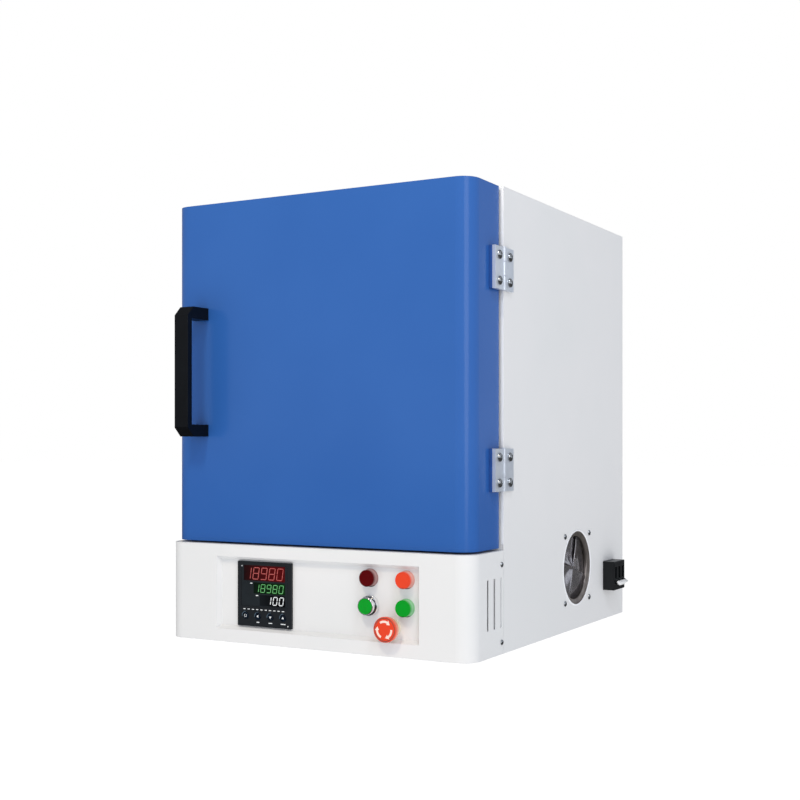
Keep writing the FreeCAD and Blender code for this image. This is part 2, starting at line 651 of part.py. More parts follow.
def make_hearth_plate():
    body = new_body("hearth_plate")
    half = f"({CHAMBER_HALF} - hearth_margin)"
    pad(body, "plate", "XY",
        [rectangle(f"-{half}", f"{FRAME_BACK} + plug_depth", half, f"{CHAMBER_REAR} - hearth_margin")],
        HEARTH_LOW, CHAMBER_LOW)
    return keep(body)


def make_thermocouple():
    body = new_body("thermocouple")
    tip = "-sheath_reach"
    wall = "rear_board + fit_gap + jacket_sheet"
    head = f"{wall} + probe_neck"
    turn(body, "probe", [("0", tip), ("sheath_radius", tip), ("sheath_radius", wall),
                         ("probe_neck_radius", wall), ("probe_neck_radius", head),
                         ("probe_head_radius", head),
                         ("probe_head_radius", f"{head} + probe_head_length"),
                         ("0", f"{head} + probe_head_length")])
    return keep(body, "0", CHAMBER_REAR, PROBE_HIGH)


# Door

def make_door_shell():
    body = new_body("door_shell")
    pad(body, "block", "XY", [rectangle(f"-{DOOR_HALF}", "-door_front", DOOR_HALF, DOOR_BACK)],
        DOOR_LOW, "case_height")
    half = value(DOOR_HALF)
    front = -SIZES["door_front"]
    corners = edges_at(body.Tip, x=half, y=front) + edges_at(body.Tip, x=-half, y=front)
    dress(body, "corners", "Fillet", corners, "corner_radius")
    hollow(body, "folded_sheet", faces_at(body.Tip, y=-SIZES["door_rear_gap"]), "door_sheet")
    cut(body, "hinge_holes", "YZ", hinge_hole_circles("-1"),
        f"{DOOR_HALF} - door_sheet - fit_gap", f"{DOOR_HALF} + fit_gap")
    return keep(body)


def make_door_liner():
    body = new_body("door_liner")
    inset = "(door_sheet + fit_gap)"
    window = f"({CHAMBER_HALF} - plug_play + fit_gap)"
    pad(body, "plate", "XZ",
        [across(f"({DOOR_HALF} - {inset})", f"{DOOR_LOW} + {inset}", f"case_height - {inset}")],
        f"{DOOR_BACK} - liner_sheet", DOOR_BACK)
    cut(body, "plug_window", "XZ",
        [across(window, f"{DOOR_MID} - {window}", f"{DOOR_MID} + {window}")],
        f"{DOOR_BACK} - liner_sheet - fit_gap", f"{DOOR_BACK} + fit_gap")
    return keep(body)


def make_door_insulation():
    body = new_body("door_insulation")
    inset = "(door_sheet + fit_gap)"
    half = f"({DOOR_HALF} - door_sheet - door_side_space)"
    pad(body, "block", "XZ",
        [across(half, f"{DOOR_LOW} + {inset}", f"case_height - {inset}")],
        f"-door_front + {inset}", f"{DOOR_BACK} - liner_sheet")
    front = value(f"-door_front + {inset}")
    side = value(half)
    dress(body, "corners", "Chamfer",
          edges_at(body.Tip, x=side, y=front) + edges_at(body.Tip, x=-side, y=front),
          "corner_radius / 2")
    return keep(body)


def make_door_plug():
    body = new_body("door_plug")
    root = f"({CHAMBER_HALF} - plug_play)"
    tip = f"({CHAMBER_HALF} - plug_play - plug_taper)"
    loft(body, "plug", "XZ",
         [(across(root, f"{DOOR_MID} - {root}", f"{DOOR_MID} + {root}"),
           f"{DOOR_BACK} - liner_sheet"),
          (across(tip, f"{DOOR_MID} - {tip}", f"{DOOR_MID} + {tip}"),
           f"{FRAME_BACK} + plug_depth - hearth_margin")])
    return keep(body)


def make_door_seal():
    body = new_body("door_seal")
    outer = f"({CHAMBER_HALF} + seal_margin)"
    inner = f"({CHAMBER_HALF} + seal_margin - seal_width)"
    ends = (DOOR_BACK, f"{DOOR_BACK} + seal_width")
    pad(body, "ring", "XZ", [across(outer, f"{DOOR_MID} - {outer}", f"{DOOR_MID} + {outer}")], *ends)
    half = value(outer)
    mid = value(DOOR_MID)
    corners = []
    for side in (-half, half):
        for at in (mid - half, mid + half):
            corners += edges_at(body.Tip, x=side, z=at)
    dress(body, "corners", "Fillet", corners, "seal_corner")
    cut(body, "middle", "XZ", [across(inner, f"{DOOR_MID} - {inner}", f"{DOOR_MID} + {inner}")],
        f"{ends[0]} - fit_gap", f"{ends[1]} + fit_gap")
    return keep(body)


def make_door_handle():
    body = new_body("door_handle")
    end = "handle_length / 2"
    inner = "handle_length / 2 - handle_post"
    bar_back = "handle_bar - handle_reach"
    bevel = "handle_bevel"
    profile = [("0", f"-({end})"), ("0", f"-({inner})"), (bar_back, f"-({inner})"),
               (bar_back, inner), ("0", inner), ("0", end), (f"{bevel} - handle_reach", end),
               ("-handle_reach", f"{end} - {bevel}"), ("-handle_reach", f"{bevel} - {end}"),
               (f"{bevel} - handle_reach", f"-({end})")]
    pad(body, "grip", "YZ", [profile], "0", "handle_width")
    reach = -SIZES["handle_reach"]
    edges = (edges_at(body.Tip, x=0, y=reach) + edges_at(body.Tip, x=SIZES["handle_width"], y=reach))
    dress(body, "softened", "Fillet", edges, "handle_edge")
    return keep(body, "-handle_left", "-door_front", DOOR_MID)


# Hinges. Each leaf is drawn about its own hinge's axis, at the middle of its height.

def barrel(body, name, low, high):
    """A length of the hinge's barrel with its bore, joined to the leaf beside it."""
    pad(body, name, "XY", [("0", "0", "barrel_radius")], low, high)


def leaf_plate(side):
    """The leaf's section from beside the barrel to its far edge, towards +y (1) or -y (-1)."""
    near = "(barrel_radius + barrel_play)"
    return rectangle("-hinge_axis_out", f"{side} * {near}", "leaf_thick - hinge_axis_out",
                     f"{side} * leaf_span")


def leaf_neck(side):
    """The part of the leaf that runs in to the axis beside its own barrel."""
    return rectangle("-hinge_axis_out", "0", "leaf_thick - hinge_axis_out",
                     f"{side} * (barrel_radius + 2 * barrel_play)")


def make_leaf(name, side, stations):
    body = new_body(name + "_model")
    pad(body, "plate", "XY", [leaf_plate(side)], "-leaf_length / 2", "leaf_length / 2")
    for number, (low, high) in enumerate(stations, start=1):
        pad(body, f"neck_{number}", "XY", [leaf_neck(side)], low, high)
        barrel(body, f"barrel_{number}", low, high)
    cut(body, "pin_bore", "XY", [("0", "0", "pin_radius + pin_play")],
        "-leaf_length", "leaf_length")
    screws = [(f"{side} * hinge_screw_out", f"{step}hinge_screw_spacing / 2", HINGE_HOLE)
              for step in ("-", "")]
    cut(body, "screw_holes", "YZ", screws, "-leaf_thick", "leaf_thick")
    spots = [(*HINGE_AXIS, hinge) for hinge in HINGES]
    return keep_group(name, body, spots)


def make_hinges():
    # The door's leaf has the middle third of the barrel, and the case's leaf has the rest.
    third = "leaf_length / 3"
    make_leaf("hinge_case_leaves", "1",
              [("-leaf_length / 2", f"-{third} / 2 - barrel_play"),
               (f"{third} / 2 + barrel_play", "leaf_length / 2")])
    make_leaf("hinge_door_leaves", "-1", [(f"-{third} / 2", f"{third} / 2")])
    pin = new_body("hinge_pin_model")
    top = "leaf_length / 2"
    turn(pin, "pin", [("0", f"-{top}"), ("pin_radius", f"-{top}"), ("pin_radius", top),
                      ("pin_head_radius", top), ("pin_head_radius", f"{top} + pin_head"),
                      ("0", f"{top} + pin_head")], plane="XZ")
    keep_group("hinge_pins", pin, [(*HINGE_AXIS, hinge) for hinge in HINGES])
    packer = new_body("hinge_packer_model")
    near = "-(barrel_radius + barrel_play + hinge_axis_front)"
    pad(packer, "packer", "YZ",
        [rectangle("-leaf_span - hinge_axis_front", "-leaf_length / 2", near, "leaf_length / 2")],
        DOOR_HALF, CASE_HALF)
    holes = [("-hinge_screw_out - hinge_axis_front", f"{step}hinge_screw_spacing / 2", HINGE_HOLE)
             for step in ("-", "")]
    cut(packer, "screw_holes", "YZ", holes, f"{DOOR_HALF} - fit_gap", f"{CASE_HALF} + fit_gap")
    keep_group("hinge_packers", packer, [("0", "0", hinge) for hinge in HINGES])
    for name, side, below in (("hinge_case_screws", "1", "case_sheet"),
                              ("hinge_door_screws", "-1", "door_inset + door_sheet")):
        screw = make_screw(name, "hinge_screw", f"leaf_thick + {below}")
        spots = [(f"{CASE_HALF} + leaf_thick", f"{side} * hinge_screw_out - hinge_axis_front",
                  f"{hinge} {step} hinge_screw_spacing / 2") for hinge in HINGES for step in "-+"]
        keep_group(name, screw, spots)


# Screws with bevelled pan heads. Each is drawn along x, with its head's seat at x = 0 and its
# shank towards -x.

def make_screw(name, kind, through, plane="XZ", axis="H_Axis"):
    """A screw of the given kind that holds what lies through it and grips a little beyond."""
    body = new_body(name + "_model")
    end = f"-({through} + {kind}_grip)"
    shoulder = f"{kind}_dome * (1 - dome_share)"
    crown = f"{kind}_head - {kind}_dome * dome_share"
    along = [(end, "0"), (end, f"{kind}_radius"), ("0", f"{kind}_radius"), ("0", f"{kind}_head"),
             (shoulder, f"{kind}_head"), (f"{kind}_dome", crown), (f"{kind}_dome", "0")]
    profile = along if axis == "H_Axis" else [(radius, place) for place, radius in along]
    turn(body, "screw", profile, axis=axis, plane=plane)
    return body


def make_small_screws():
    fascia = make_screw("fascia_screws", "small_screw", "2 * case_sheet")
    right = gather("fascia_screws_right", fascia,
                   [(CASE_HALF, "-fascia_screw_front", high)
                    for high in ("fascia_screw_low", "fascia_screw_high")])
    keep_pair("fascia_screws", right)

    fan = make_screw("fan_screws", "small_screw", "case_sheet")
    keep_group("fan_screws", fan,
               [(CASE_HALF, y, z) for y, z, _ in fan_hole_circles("fan_depth", "fan_high")])

    rear = make_screw("rear_screws", "small_screw", "2 * case_sheet", plane="XY", axis="V_Axis")
    keep_group("rear_screws", rear,
               [(side, "case_depth", high) for side, high, _ in rear_hole_circles()])


# Cooling fan. Drawn about its own axis, x = 0 on the inner face of the case's side.

def make_fan():
    frame = new_body("fan_frame")
    pad(frame, "block", "YZ", [around("0", "0", "fan_size", "fan_size")], "-fan_thick", "0")
    half = SIZES["fan_size"] / 2
    corners = []
    for y in (-half, half):
        for z in (-half, half):
            corners += edges_at(frame.Tip, y=y, z=z)
    dress(frame, "corners", "Fillet", corners, "fan_corner")
    cut(frame, "bore", "YZ", [("0", "0", "fan_bore")], "-fan_thick - fit_gap", "fit_gap")
    cut(frame, "screw_holes", "YZ", fan_hole_circles("0", "0"), "-fan_thick - fit_gap", "fit_gap")
    back = ("-fan_thick", "fan_strut_thick - fan_thick")
    span = "2 * (fan_bore + fit_gap)"
    pad(frame, "upright_strut", "YZ", [around("0", "0", "fan_strut", span)], *back)
    pad(frame, "level_strut", "YZ", [around("0", "0", span, "fan_strut")], *back)
    pad(frame, "motor_ring", "YZ", [("0", "0", "fan_ring")], *back)
    cut(frame, "motor_seat", "YZ", [("0", "0", "motor_radius")],
        "-fan_thick - fit_gap", "-fan_thick + fan_strut_thick + fit_gap")
    spot = (f"{CASE_HALF} - case_sheet", "fan_depth", "fan_high")
    keep(frame, *spot)

    motor = new_body("fan_motor")
    front = "-motor_front"
    shaft_end = "-rotor_hub_front - shaft_sink"
    back_end = "-motor_front - motor_length"
    turn(motor, "motor", [(back_end, "0"), (back_end, "motor_radius"),
                          (f"{front} - motor_edge", "motor_radius"),
                          (front, "motor_radius - motor_edge"), (front, "shaft_radius"),
                          (shaft_end, "shaft_radius"), (shaft_end, "0")],
         axis="H_Axis", plane="XZ")
    keep(motor, *spot)

    rotor = new_body("fan_rotor")
    hub_back = "rotor_gap - motor_front"
    bore = "shaft_radius + pin_play"
    turn(rotor, "hub", [(hub_back, bore), (hub_back, "rotor_hub"),
                        ("-rotor_hub_front", "rotor_hub"), ("-rotor_hub_front", bore)],
         axis="H_Axis", plane="XZ")
    middle = "(blade_root + blade_out) / 2"
    blade = loft(rotor, "blade", "XY",
                 [(blade_section("blade_root", "blade_root_angle"), "blade_root"),
                  (blade_section(middle, "blade_mid_angle"), middle),
                  (blade_section("blade_out", "blade_tip_angle"), "blade_out")])
    blades = rotor.newObject("PartDesign::PolarPattern", "blades")
    blades.Originals = [blade]
    blades.Axis = (datum(rotor, "X_Axis"), [""])
    blades.Angle = 360
    blades.setExpression("Occurrences", formula("blade_count"))
    finish(rotor, blades)
    turn(rotor, "rim_trim", [("-fan_thick - fan_size", "rotor_radius"),
                             ("-fan_thick - fan_size", "fan_size"), ("fan_size", "fan_size"),
                             ("fan_size", "rotor_radius")],
         axis="H_Axis", plane="XZ", kind="Groove")
    rotor.Placement.Rotation = FreeCAD.Rotation(FreeCAD.Vector(1, 0, 0), SIZES["rotor_turn"])
    rotor.setExpression("Placement.Rotation.Angle", formula("rotor_turn"))
    keep(rotor, *spot)


def blade_section(out, pitch):
    """A blade's flat section at a distance from the axis: it spans the blade's sector, pitched."""
    half = f"(({out}) * tan(blade_half_angle))"
    rise = f"({half} * tan({pitch}))"
    thick = f"(blade_thick / cos({pitch}))"
    return [(f"-rotor_mid + {rise}", f"-{half}"), (f"-rotor_mid - {rise}", half),
            (f"-rotor_mid - {rise} - {thick}", half), (f"-rotor_mid + {rise} - {thick}", f"-{half}")]


# Breaker. Drawn about the middle of its nose, x = 0 on the outer face of the case's side.

def make_breaker():
    body = new_body("breaker_body")
    inner = "-case_sheet"
    pad(body, "housing", "YZ", [around("0", "0", "breaker_width", "breaker_tall")],
        f"{inner} - breaker_body", inner)
    pad(body, "nose", "YZ", [around("0", "0", "nose_width", "nose_tall")], inner, "breaker_proud")
    front = SIZES["breaker_proud"]
    dress(body, "nose_edges", "Fillet",
          edges_at(body.Tip, x=front, z=SIZES["nose_tall"] / 2)
          + edges_at(body.Tip, x=front, z=-SIZES["nose_tall"] / 2), "handle_edge")
    pivot = "breaker_proud - lever_pivot"
    cut(body, "hub_bore", "XZ", [(pivot, "0", "lever_hub + lever_play")],
        "-pole_spacing - lever_slot / 2", "pole_spacing + lever_slot / 2")
    window = cut(body, "window", "YZ",
                 [around("-pole_spacing", "0", "lever_slot", "2 * lever_window")],
                 pivot, "breaker_proud + fit_gap")
    repeat(body, "windows", window, "Y", "pole_spacing", 3)
    spot = (CASE_HALF, BREAKER_DEPTH, "breaker_high")
    keep(body, *spot)

    lever = new_body("breaker_lever")
    reach = "(lever_pivot + lever_proud - lever_bar * sin(lever_rest) / 2) / cos(lever_rest)"
    pad(lever, "hub", "XZ", [("0", "0", "lever_hub")],
        "-pole_spacing - lever_slot / 2 + lever_play", "pole_spacing + lever_slot / 2 - lever_play")
    arm = pad(lever, "arm", "XZ", [lever_arm_section(reach)],
              "-pole_spacing - lever_arm / 2", "-pole_spacing + lever_arm / 2")
    repeat(lever, "arms", arm, "Y", "pole_spacing", 3)
    pad(lever, "bar", "XZ", [lever_bar_section(reach)],
        "-pole_spacing - lever_arm / 2", "pole_spacing + lever_arm / 2")
    keep(lever, f"{CASE_HALF} + {pivot}", BREAKER_DEPTH, "breaker_high")


def lever_point(along, aside):
    """A point of the lever at rest: along its arm from the pivot, and aside across the arm."""
    return (f"({along}) * cos(lever_rest) + ({aside}) * sin(lever_rest)",
            f"({aside}) * cos(lever_rest) - ({along}) * sin(lever_rest)")


def lever_arm_section(reach):
    half = "lever_bar / 2 - lever_play"
    return [lever_point("0", f"-({half})"), lever_point(reach, f"-({half})"),
            lever_point(reach, half), lever_point("0", half)]


def lever_bar_section(reach):
    half = "lever_bar / 2"
    inner = "(lever_pivot + fit_gap + lever_bar * sin(lever_rest) / 2) / cos(lever_rest)"
    return [lever_point(inner, f"-({half})"), lever_point(reach, f"-({half})"),
            lever_point(reach, half), lever_point(inner, half)]


# Temperature controller. Drawn about its middle, y = 0 on the recess floor that it sits on.

def make_controller():
    spot = ("-meter_side", PANEL, "meter_high")
    keys = [(f"{step} * key_spacing", "-key_down") for step in ("-1.5", "-0.5", "0.5", "1.5")]
    case = new_body("controller_case")
    pad(case, "case", "XZ", [around("0", "0", "meter_case", "meter_case")], "0", "meter_length")
    keep(case, *spot)

    bezel = new_body("controller_bezel")
    pad(bezel, "frame", "XZ", [around("0", "0", "meter_size", "meter_size")], "-meter_bezel", "0")
    half = SIZES["meter_size"] / 2
    edges = (edges_at(bezel.Tip, x=half, z=half) + edges_at(bezel.Tip, x=-half, z=half)
             + edges_at(bezel.Tip, x=half, z=-half) + edges_at(bezel.Tip, x=-half, z=-half))
    dress(bezel, "corners", "Fillet", edges, "handle_edge")
    cut(bezel, "window_seat", "XZ",
        [around("0", "window_up", "(window_width + 2 * key_play)", "(window_tall + 2 * key_play)")],
        "-meter_bezel - fit_gap", "-meter_bezel + window_sink")
    cut(bezel, "key_holes", "XZ", [(x, z, "key_radius + key_play") for x, z in keys],
        "-meter_bezel - fit_gap", "-meter_bezel + key_depth + key_travel + fit_gap")
    keep(bezel, *spot)

    window = new_body("controller_window")
    pad(window, "pane", "XZ", [around("0", "window_up", "window_width", "window_tall")],
        "-meter_bezel + window_sink - window_thick", "-meter_bezel + window_sink")
    keep(window, *spot)

    for name, (x, z) in zip(("mode_key", "shift_key", "down_key", "up_key"), keys):
        key = new_body(name)
        turn(key, "button", [("0", "key_depth"), ("key_radius", "key_depth"),
                             ("key_radius", "key_edge - key_proud"),
                             ("key_radius - key_edge", "-key_proud"), ("0", "-key_proud")])
        keep(key, f"{x} - meter_side", f"{PANEL} - meter_bezel", f"{z} + meter_high")

    clamps = new_body("controller_clamp_model")
    up = "meter_case / 2"
    pad(clamps, "bracket", "YZ",
        [[("case_sheet", up), ("case_sheet", f"{up} + clamp_tall"),
          ("case_sheet + clamp_foot", f"{up} + clamp_tall"),
          ("clamp_length", f"{up} + clamp_tail"), ("clamp_length", up)]],
        "-clamp_width / 2", "clamp_width / 2")
    low = doc.addObject("Part::Mirroring", "controller_clamp_low")
    low.Source = clamps
    low.Normal = FreeCAD.Vector(0, 0, 1)
    both = doc.addObject("Part::Compound", "controller_clamps")
    both.Links = [clamps, low]
    keep(both, *spot)


# Lamps, push button and emergency stop. Each is drawn along y, y = 0 on the recess floor.

def control_spot(name):
    x, z = CONTROLS[name]
    return x, PANEL, z


def make_lamps():
    for name in ("heating", "power", "running"):
        lens = new_body(name + "_lens")
        turn(lens, "lens", [("0", "0"), ("lens_flange", "0"), ("lens_flange", "-lens_flange_thick"),
                            ("lens_radius", "-lens_flange_thick"),
                            ("lens_radius", "lens_edge - lens_reach"),
                            ("lens_radius - lens_edge", "-lens_reach"), ("0", "-lens_reach")])
        keep(lens, *control_spot(name))
    lamp = new_body("lamp_model")
    turn(lamp, "body", [("0", "0"), ("control_body", "0"), ("control_body", "lamp_length"),
                        ("0", "lamp_length")])
    keep_group("lamp_bodies", lamp, [control_spot(name) for name in ("heating", "power", "running")])
    nut = new_body("panel_nut_model")
    back = "case_sheet + nut_thick"
    pad(nut, "hex", "XZ", [hexagon("nut_radius"), ("0", "0", "control_body + hole_play / 2")],
        "case_sheet", back)
    keep_group("panel_nuts", nut, [control_spot(name) for name in CONTROLS])


def make_start_button():
    spot = control_spot("start")
    bezel = new_body("start_button_bezel")
    bore = "button_cap + fit_gap"
    turn(bezel, "ring", [(bore, "0"), ("button_bezel", "0"),
                         ("button_bezel", "bezel_edge - button_bezel_reach"),
                         ("button_bezel - bezel_edge", "-button_bezel_reach"),
                         (bore, "-button_bezel_reach")])
    keep(bezel, *spot)

    cap = new_body("start_button_cap")
    cap_rear = "button_cap_length - button_reach"
    stem_end = "block_start + block_length / 2 - button_travel - fit_gap"
    turn(cap, "cap", [("0", "-button_reach"), ("button_cap - lens_edge", "-button_reach"),
                      ("button_cap", "lens_edge - button_reach"), ("button_cap", cap_rear),
                      ("button_stem", cap_rear), ("button_stem", stem_end), ("0", stem_end)])
    keep(cap, *spot)


def make_contact_blocks():
    """The round threaded neck in the panel's hole, and the switch block behind it."""
    block = new_body("contact_block_model")
    turn(block, "neck", [("button_stem + stem_play", "0"), ("control_body", "0"),
                         ("control_body", "block_start"), ("button_stem + stem_play", "block_start")])
    pad(block, "switch", "XZ", [around("0", "0", "block_side", "block_side")],
        "block_start", "block_start + block_length")
    cut(block, "stem_bore", "XZ", [("0", "0", "button_stem + stem_play")],
        "block_start - fit_gap", "block_start + block_length / 2")
    keep_group("contact_blocks", block, [control_spot("start"), control_spot("stop")])


def make_stop():
    spot = control_spot("stop")
    collar = new_body("stop_collar")
    bore = "stop_neck + fit_gap"
    turn(collar, "ring", [(bore, "0"), ("stop_collar", "0"), ("stop_collar", "-stop_collar_reach"),
                          (bore, "-stop_collar_reach")])
    keep(collar, *spot)

    plunger = new_body("stop_plunger")
    neck_end = "stop_head - stop_reach"
    stem_end = "block_start + block_length / 2 - stop_travel - fit_gap"
    neck_rear = "-stop_travel - fit_gap"
    turn(plunger, "neck", [("0", neck_end), ("stop_neck", neck_end), ("stop_neck", neck_rear),
                           ("button_stem", neck_rear), ("button_stem", stem_end), ("0", stem_end)])
    keep(plunger, *spot)

    head = new_body("stop_head")
    face = "-stop_reach"
    turn(head, "mushroom", [("0", f"{neck_end} - fit_gap"), ("stop_neck", f"{neck_end} - fit_gap"),
                            ("stop_radius", f"{face} + stop_rim + lens_edge"),
                            ("stop_radius", f"{face} + lens_edge"),
                            ("stop_radius * dome_share", face), ("0", face)])
    keep(head, *spot)


# Power parts on the tray, the feet and the cable gland

def make_power_parts():
    floor = "case_sheet"
    sink = new_body("heat_sink")
    side = "-sink_side"
    pad(sink, "base", "XY",
        [rectangle(f"{side} - sink_base", "sink_front", side, "sink_front + sink_length")],
        floor, f"{floor} + sink_tall")
    spacing = "(sink_length - fin_thick) / (fin_count - 1)"
    fin = pad(sink, "fin", "XY",
              [rectangle(f"{side} - sink_base - fin_reach", "sink_front",
                         f"{side} - sink_base", "sink_front + fin_thick")],
              floor, f"{floor} + sink_tall")
    repeat(sink, "fins", fin, "Y", spacing, "fin_count")
    keep(sink)

    relay = new_body("solid_state_relay")
    middle = "sink_front + sink_length / 2"
    high = f"{floor} + sink_tall / 2"
    pad(relay, "module", "YZ", [around(middle, high, "relay_width", "relay_tall")],
        side, f"{side} + relay_thick")
    dress(relay, "edges", "Chamfer",
          edges_at(relay.Tip, x=value(f"{side} + relay_thick"),
                   z=value(f"{high} + relay_tall / 2"))
          + edges_at(relay.Tip, x=value(f"{side} + relay_thick"),
                     z=value(f"{high} - relay_tall / 2")), "relay_edge")
    keep(relay)

    strip = new_body("terminal_strip")
    front = "(case_depth - terminals_from_rear)"
    pad(strip, "base", "XY",
        [rectangle("terminals_side", front, "terminals_side + terminals_length",
                   f"{front} + terminals_width")], floor, f"{floor} + terminals_tall")
    first = "terminals_side + terminals_length / 2 - terminal_spacing * (terminal_count - 1) / 2"
    well = cut(strip, "well", "XY",
               [around(first, f"{front} + terminals_width / 2",
                       "terminal_well", "terminal_well_long")],
               f"{floor} + terminals_tall - terminal_well_deep",
               f"{floor} + terminals_tall + fit_gap")
    repeat(strip, "wells", well, "X", "terminal_spacing", "terminal_count")
    keep(strip)


def make_feet():
    foot = new_body("foot_model")
    turn(foot, "foot", [("0", "-foot_height"), ("foot_radius - foot_taper", "-foot_height"),
                        ("foot_radius", "0"), ("0", "0")], plane="XZ")
    spots = [(f"{side}foot_side", along, "0") for side in ("-", "")
             for along in ("foot_front", "case_depth - foot_from_rear")]
    keep_group("feet", foot, spots)


def make_gland():
    spot = ("gland_side", "case_depth", "gland_high")
    gland = new_body("cable_gland")
    start = "-2 * case_sheet - gland_inside"
    turn(gland, "gland", [("gland_bore", start), ("gland_stem", start), ("gland_stem", "0"),
                          ("gland_dome", "0"), ("gland_dome", "gland_reach - gland_taper"),
                          ("gland_dome - gland_taper", "gland_reach"),
                          ("gland_bore", "gland_reach")])
    pad(gland, "hex", "XZ", [hexagon("gland_hex")], "0", "gland_hex_thick")
    cut(gland, "bore", "XZ", [("0", "0", "gland_bore")],
        f"{start} - fit_gap", "gland_reach + fit_gap")
    keep(gland, *spot)
    nut = new_body("gland_nut")
    far = "-case_sheet - gland_nut_thick"
    pad(nut, "hex", "XZ", [hexagon("gland_nut")], far, "-case_sheet")
    cut(nut, "bore", "XZ", [("0", "0", "gland_stem + hole_play / 2")],
        f"{far} - fit_gap", "-case_sheet + fit_gap")
    keep(nut, *spot)


def hexagon(size):
    """A hexagon about the origin whose corners lie at size from it."""
    corners = []
    for number in range(6):
        corners.append((f"{size} * cos({60 * number})", f"{size} * sin({60 * number})"))
    return corners


def make_door_magnet():
    magnet = new_body("door_magnet")
    pad(magnet, "block", "XZ", [around("0", "0", "magnet_width", "magnet_tall")],
        "fit_gap - door_rear_gap", "0")
    keep(magnet, "-magnet_side", "0", DOOR_MID)


for make in (make_base_tray, make_outer_case, make_rear_cover, make_front_frame, make_fascia,
             make_deck, make_inner_shell, make_floor_insulation, make_roof_insulation,
             make_side_insulation, make_rear_insulation, make_hearth_plate, make_heating_coils,
             make_thermocouple, make_door_shell, make_door_liner, make_door_insulation,
             make_door_plug, make_door_seal, make_door_handle, make_hinges, make_small_screws,
             make_fan, make_breaker, make_controller, make_lamps, make_start_button,
             make_contact_blocks, make_stop, make_power_parts, make_feet, make_gland,
             make_door_magnet):
    make()
doc.recompute()

for thing in doc.Objects:
    if "Invalid" in thing.State or "Error" in thing.State:
        raise RuntimeError(f"{thing.Label} was not built: {thing.State}")
for thing in SUBPARTS:
    if thing.Shape.isNull() or not thing.Shape.isValid():
        raise RuntimeError(f"{thing.Label} has no valid shape")

os.makedirs("parts", exist_ok=True)
for thing in SUBPARTS:
    thing.Shape.exportStep(f"parts/{thing.Label}.step")
print(f"{len(SUBPARTS)} sub-parts written")
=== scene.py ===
import json
import math

import bmesh
import bpy
from mathutils import Matrix, Vector


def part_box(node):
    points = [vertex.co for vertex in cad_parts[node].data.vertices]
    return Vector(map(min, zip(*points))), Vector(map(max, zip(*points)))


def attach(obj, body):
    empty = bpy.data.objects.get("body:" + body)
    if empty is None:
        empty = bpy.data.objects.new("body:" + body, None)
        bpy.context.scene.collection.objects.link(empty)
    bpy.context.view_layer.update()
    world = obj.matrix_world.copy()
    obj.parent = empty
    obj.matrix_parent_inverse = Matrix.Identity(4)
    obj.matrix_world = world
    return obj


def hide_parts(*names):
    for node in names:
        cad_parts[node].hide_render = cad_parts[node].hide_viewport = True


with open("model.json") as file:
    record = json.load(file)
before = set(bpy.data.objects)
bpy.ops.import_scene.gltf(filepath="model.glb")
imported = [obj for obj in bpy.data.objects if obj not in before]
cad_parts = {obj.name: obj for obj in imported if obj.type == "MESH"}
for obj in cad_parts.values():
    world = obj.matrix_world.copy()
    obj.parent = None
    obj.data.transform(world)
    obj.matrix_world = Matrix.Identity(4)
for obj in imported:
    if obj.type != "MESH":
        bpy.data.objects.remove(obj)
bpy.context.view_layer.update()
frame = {"nodes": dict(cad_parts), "record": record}

# A bench muffle furnace: blue powder-coated door, light grey case and base, a temperature
# controller, lamps and buttons in the base's recess, hinges, fan and breaker on the right side.
# Places are given in millimetres in the CAD's own frame and turned to metres where meshes are made.

MM = 0.001


def box_of(node):
    """The low and the high corner of a CAD node's box, in millimetres."""
    return [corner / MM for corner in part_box(node)]


def middle_of(node):
    """The middle of a CAD node's box, in millimetres."""
    low, high = box_of(node)
    return (low + high) / 2


case_low, case_high = box_of("outer_case")
bezel_low, bezel_high = box_of("controller_bezel")
CASE_LEFT, CASE_RIGHT, CASE_TOP = case_low.x, case_high.x, case_high.z
CASE_MIDDLE = middle_of("outer_case").x
REAR_FACE = box_of("rear_cover")[1].y
PANEL_FACE, BEZEL_FACE = bezel_high.y, bezel_low.y       # the recess's floor carries the bezel
DOOR_MIDDLE = middle_of("door_plug").z
FAN_AXIS = tuple(middle_of("fan_frame").yz)


# Camera, light and floor

def aim(thing, target):
    """Turn a light so that it shines at a point."""
    thing.rotation_euler = (Vector(target) - thing.location).to_track_quat("-Z", "Y").to_euler()


def soft_light(name, place, target, size, power, colour):
    """An oval light aimed at a point, its size in metres and its power in watts."""
    data = bpy.data.lights.new(name, "AREA")
    data.shape = "ELLIPSE"
    data.size, data.size_y = size
    data.energy = power
    data.color = linear(colour)[:3]
    light = bpy.data.objects.new(name, data)
    light.location = place
    bpy.context.scene.collection.objects.link(light)
    aim(light, target)


def linear(colour):
    """An sRGB hex colour as linear red, green, blue and alpha."""
    parts = [int(colour[start:start + 2], 16) / 255 for start in (1, 3, 5)]
    return (*(part / 12.92 if part <= 0.04045 else ((part + 0.055) / 1.055) ** 2.4
              for part in parts), 1.0)


def make_camera():
    """The photograph's camera: level, so that upright edges stay so, with its frame shifted."""
    data = bpy.data.cameras.new("camera")
    data.sensor_width = 36
    data.lens = 56.97
    data.shift_x = -0.0020
    data.shift_y = 0.0535
    data.clip_end = 100
    camera = bpy.data.objects.new("camera", data)
    camera.location = (0.9858, -1.8196, 0.3031)
    camera.rotation_euler = (math.radians(90), 0, math.radians(29.0757))
    bpy.context.scene.collection.objects.link(camera)
    bpy.context.scene.camera = camera


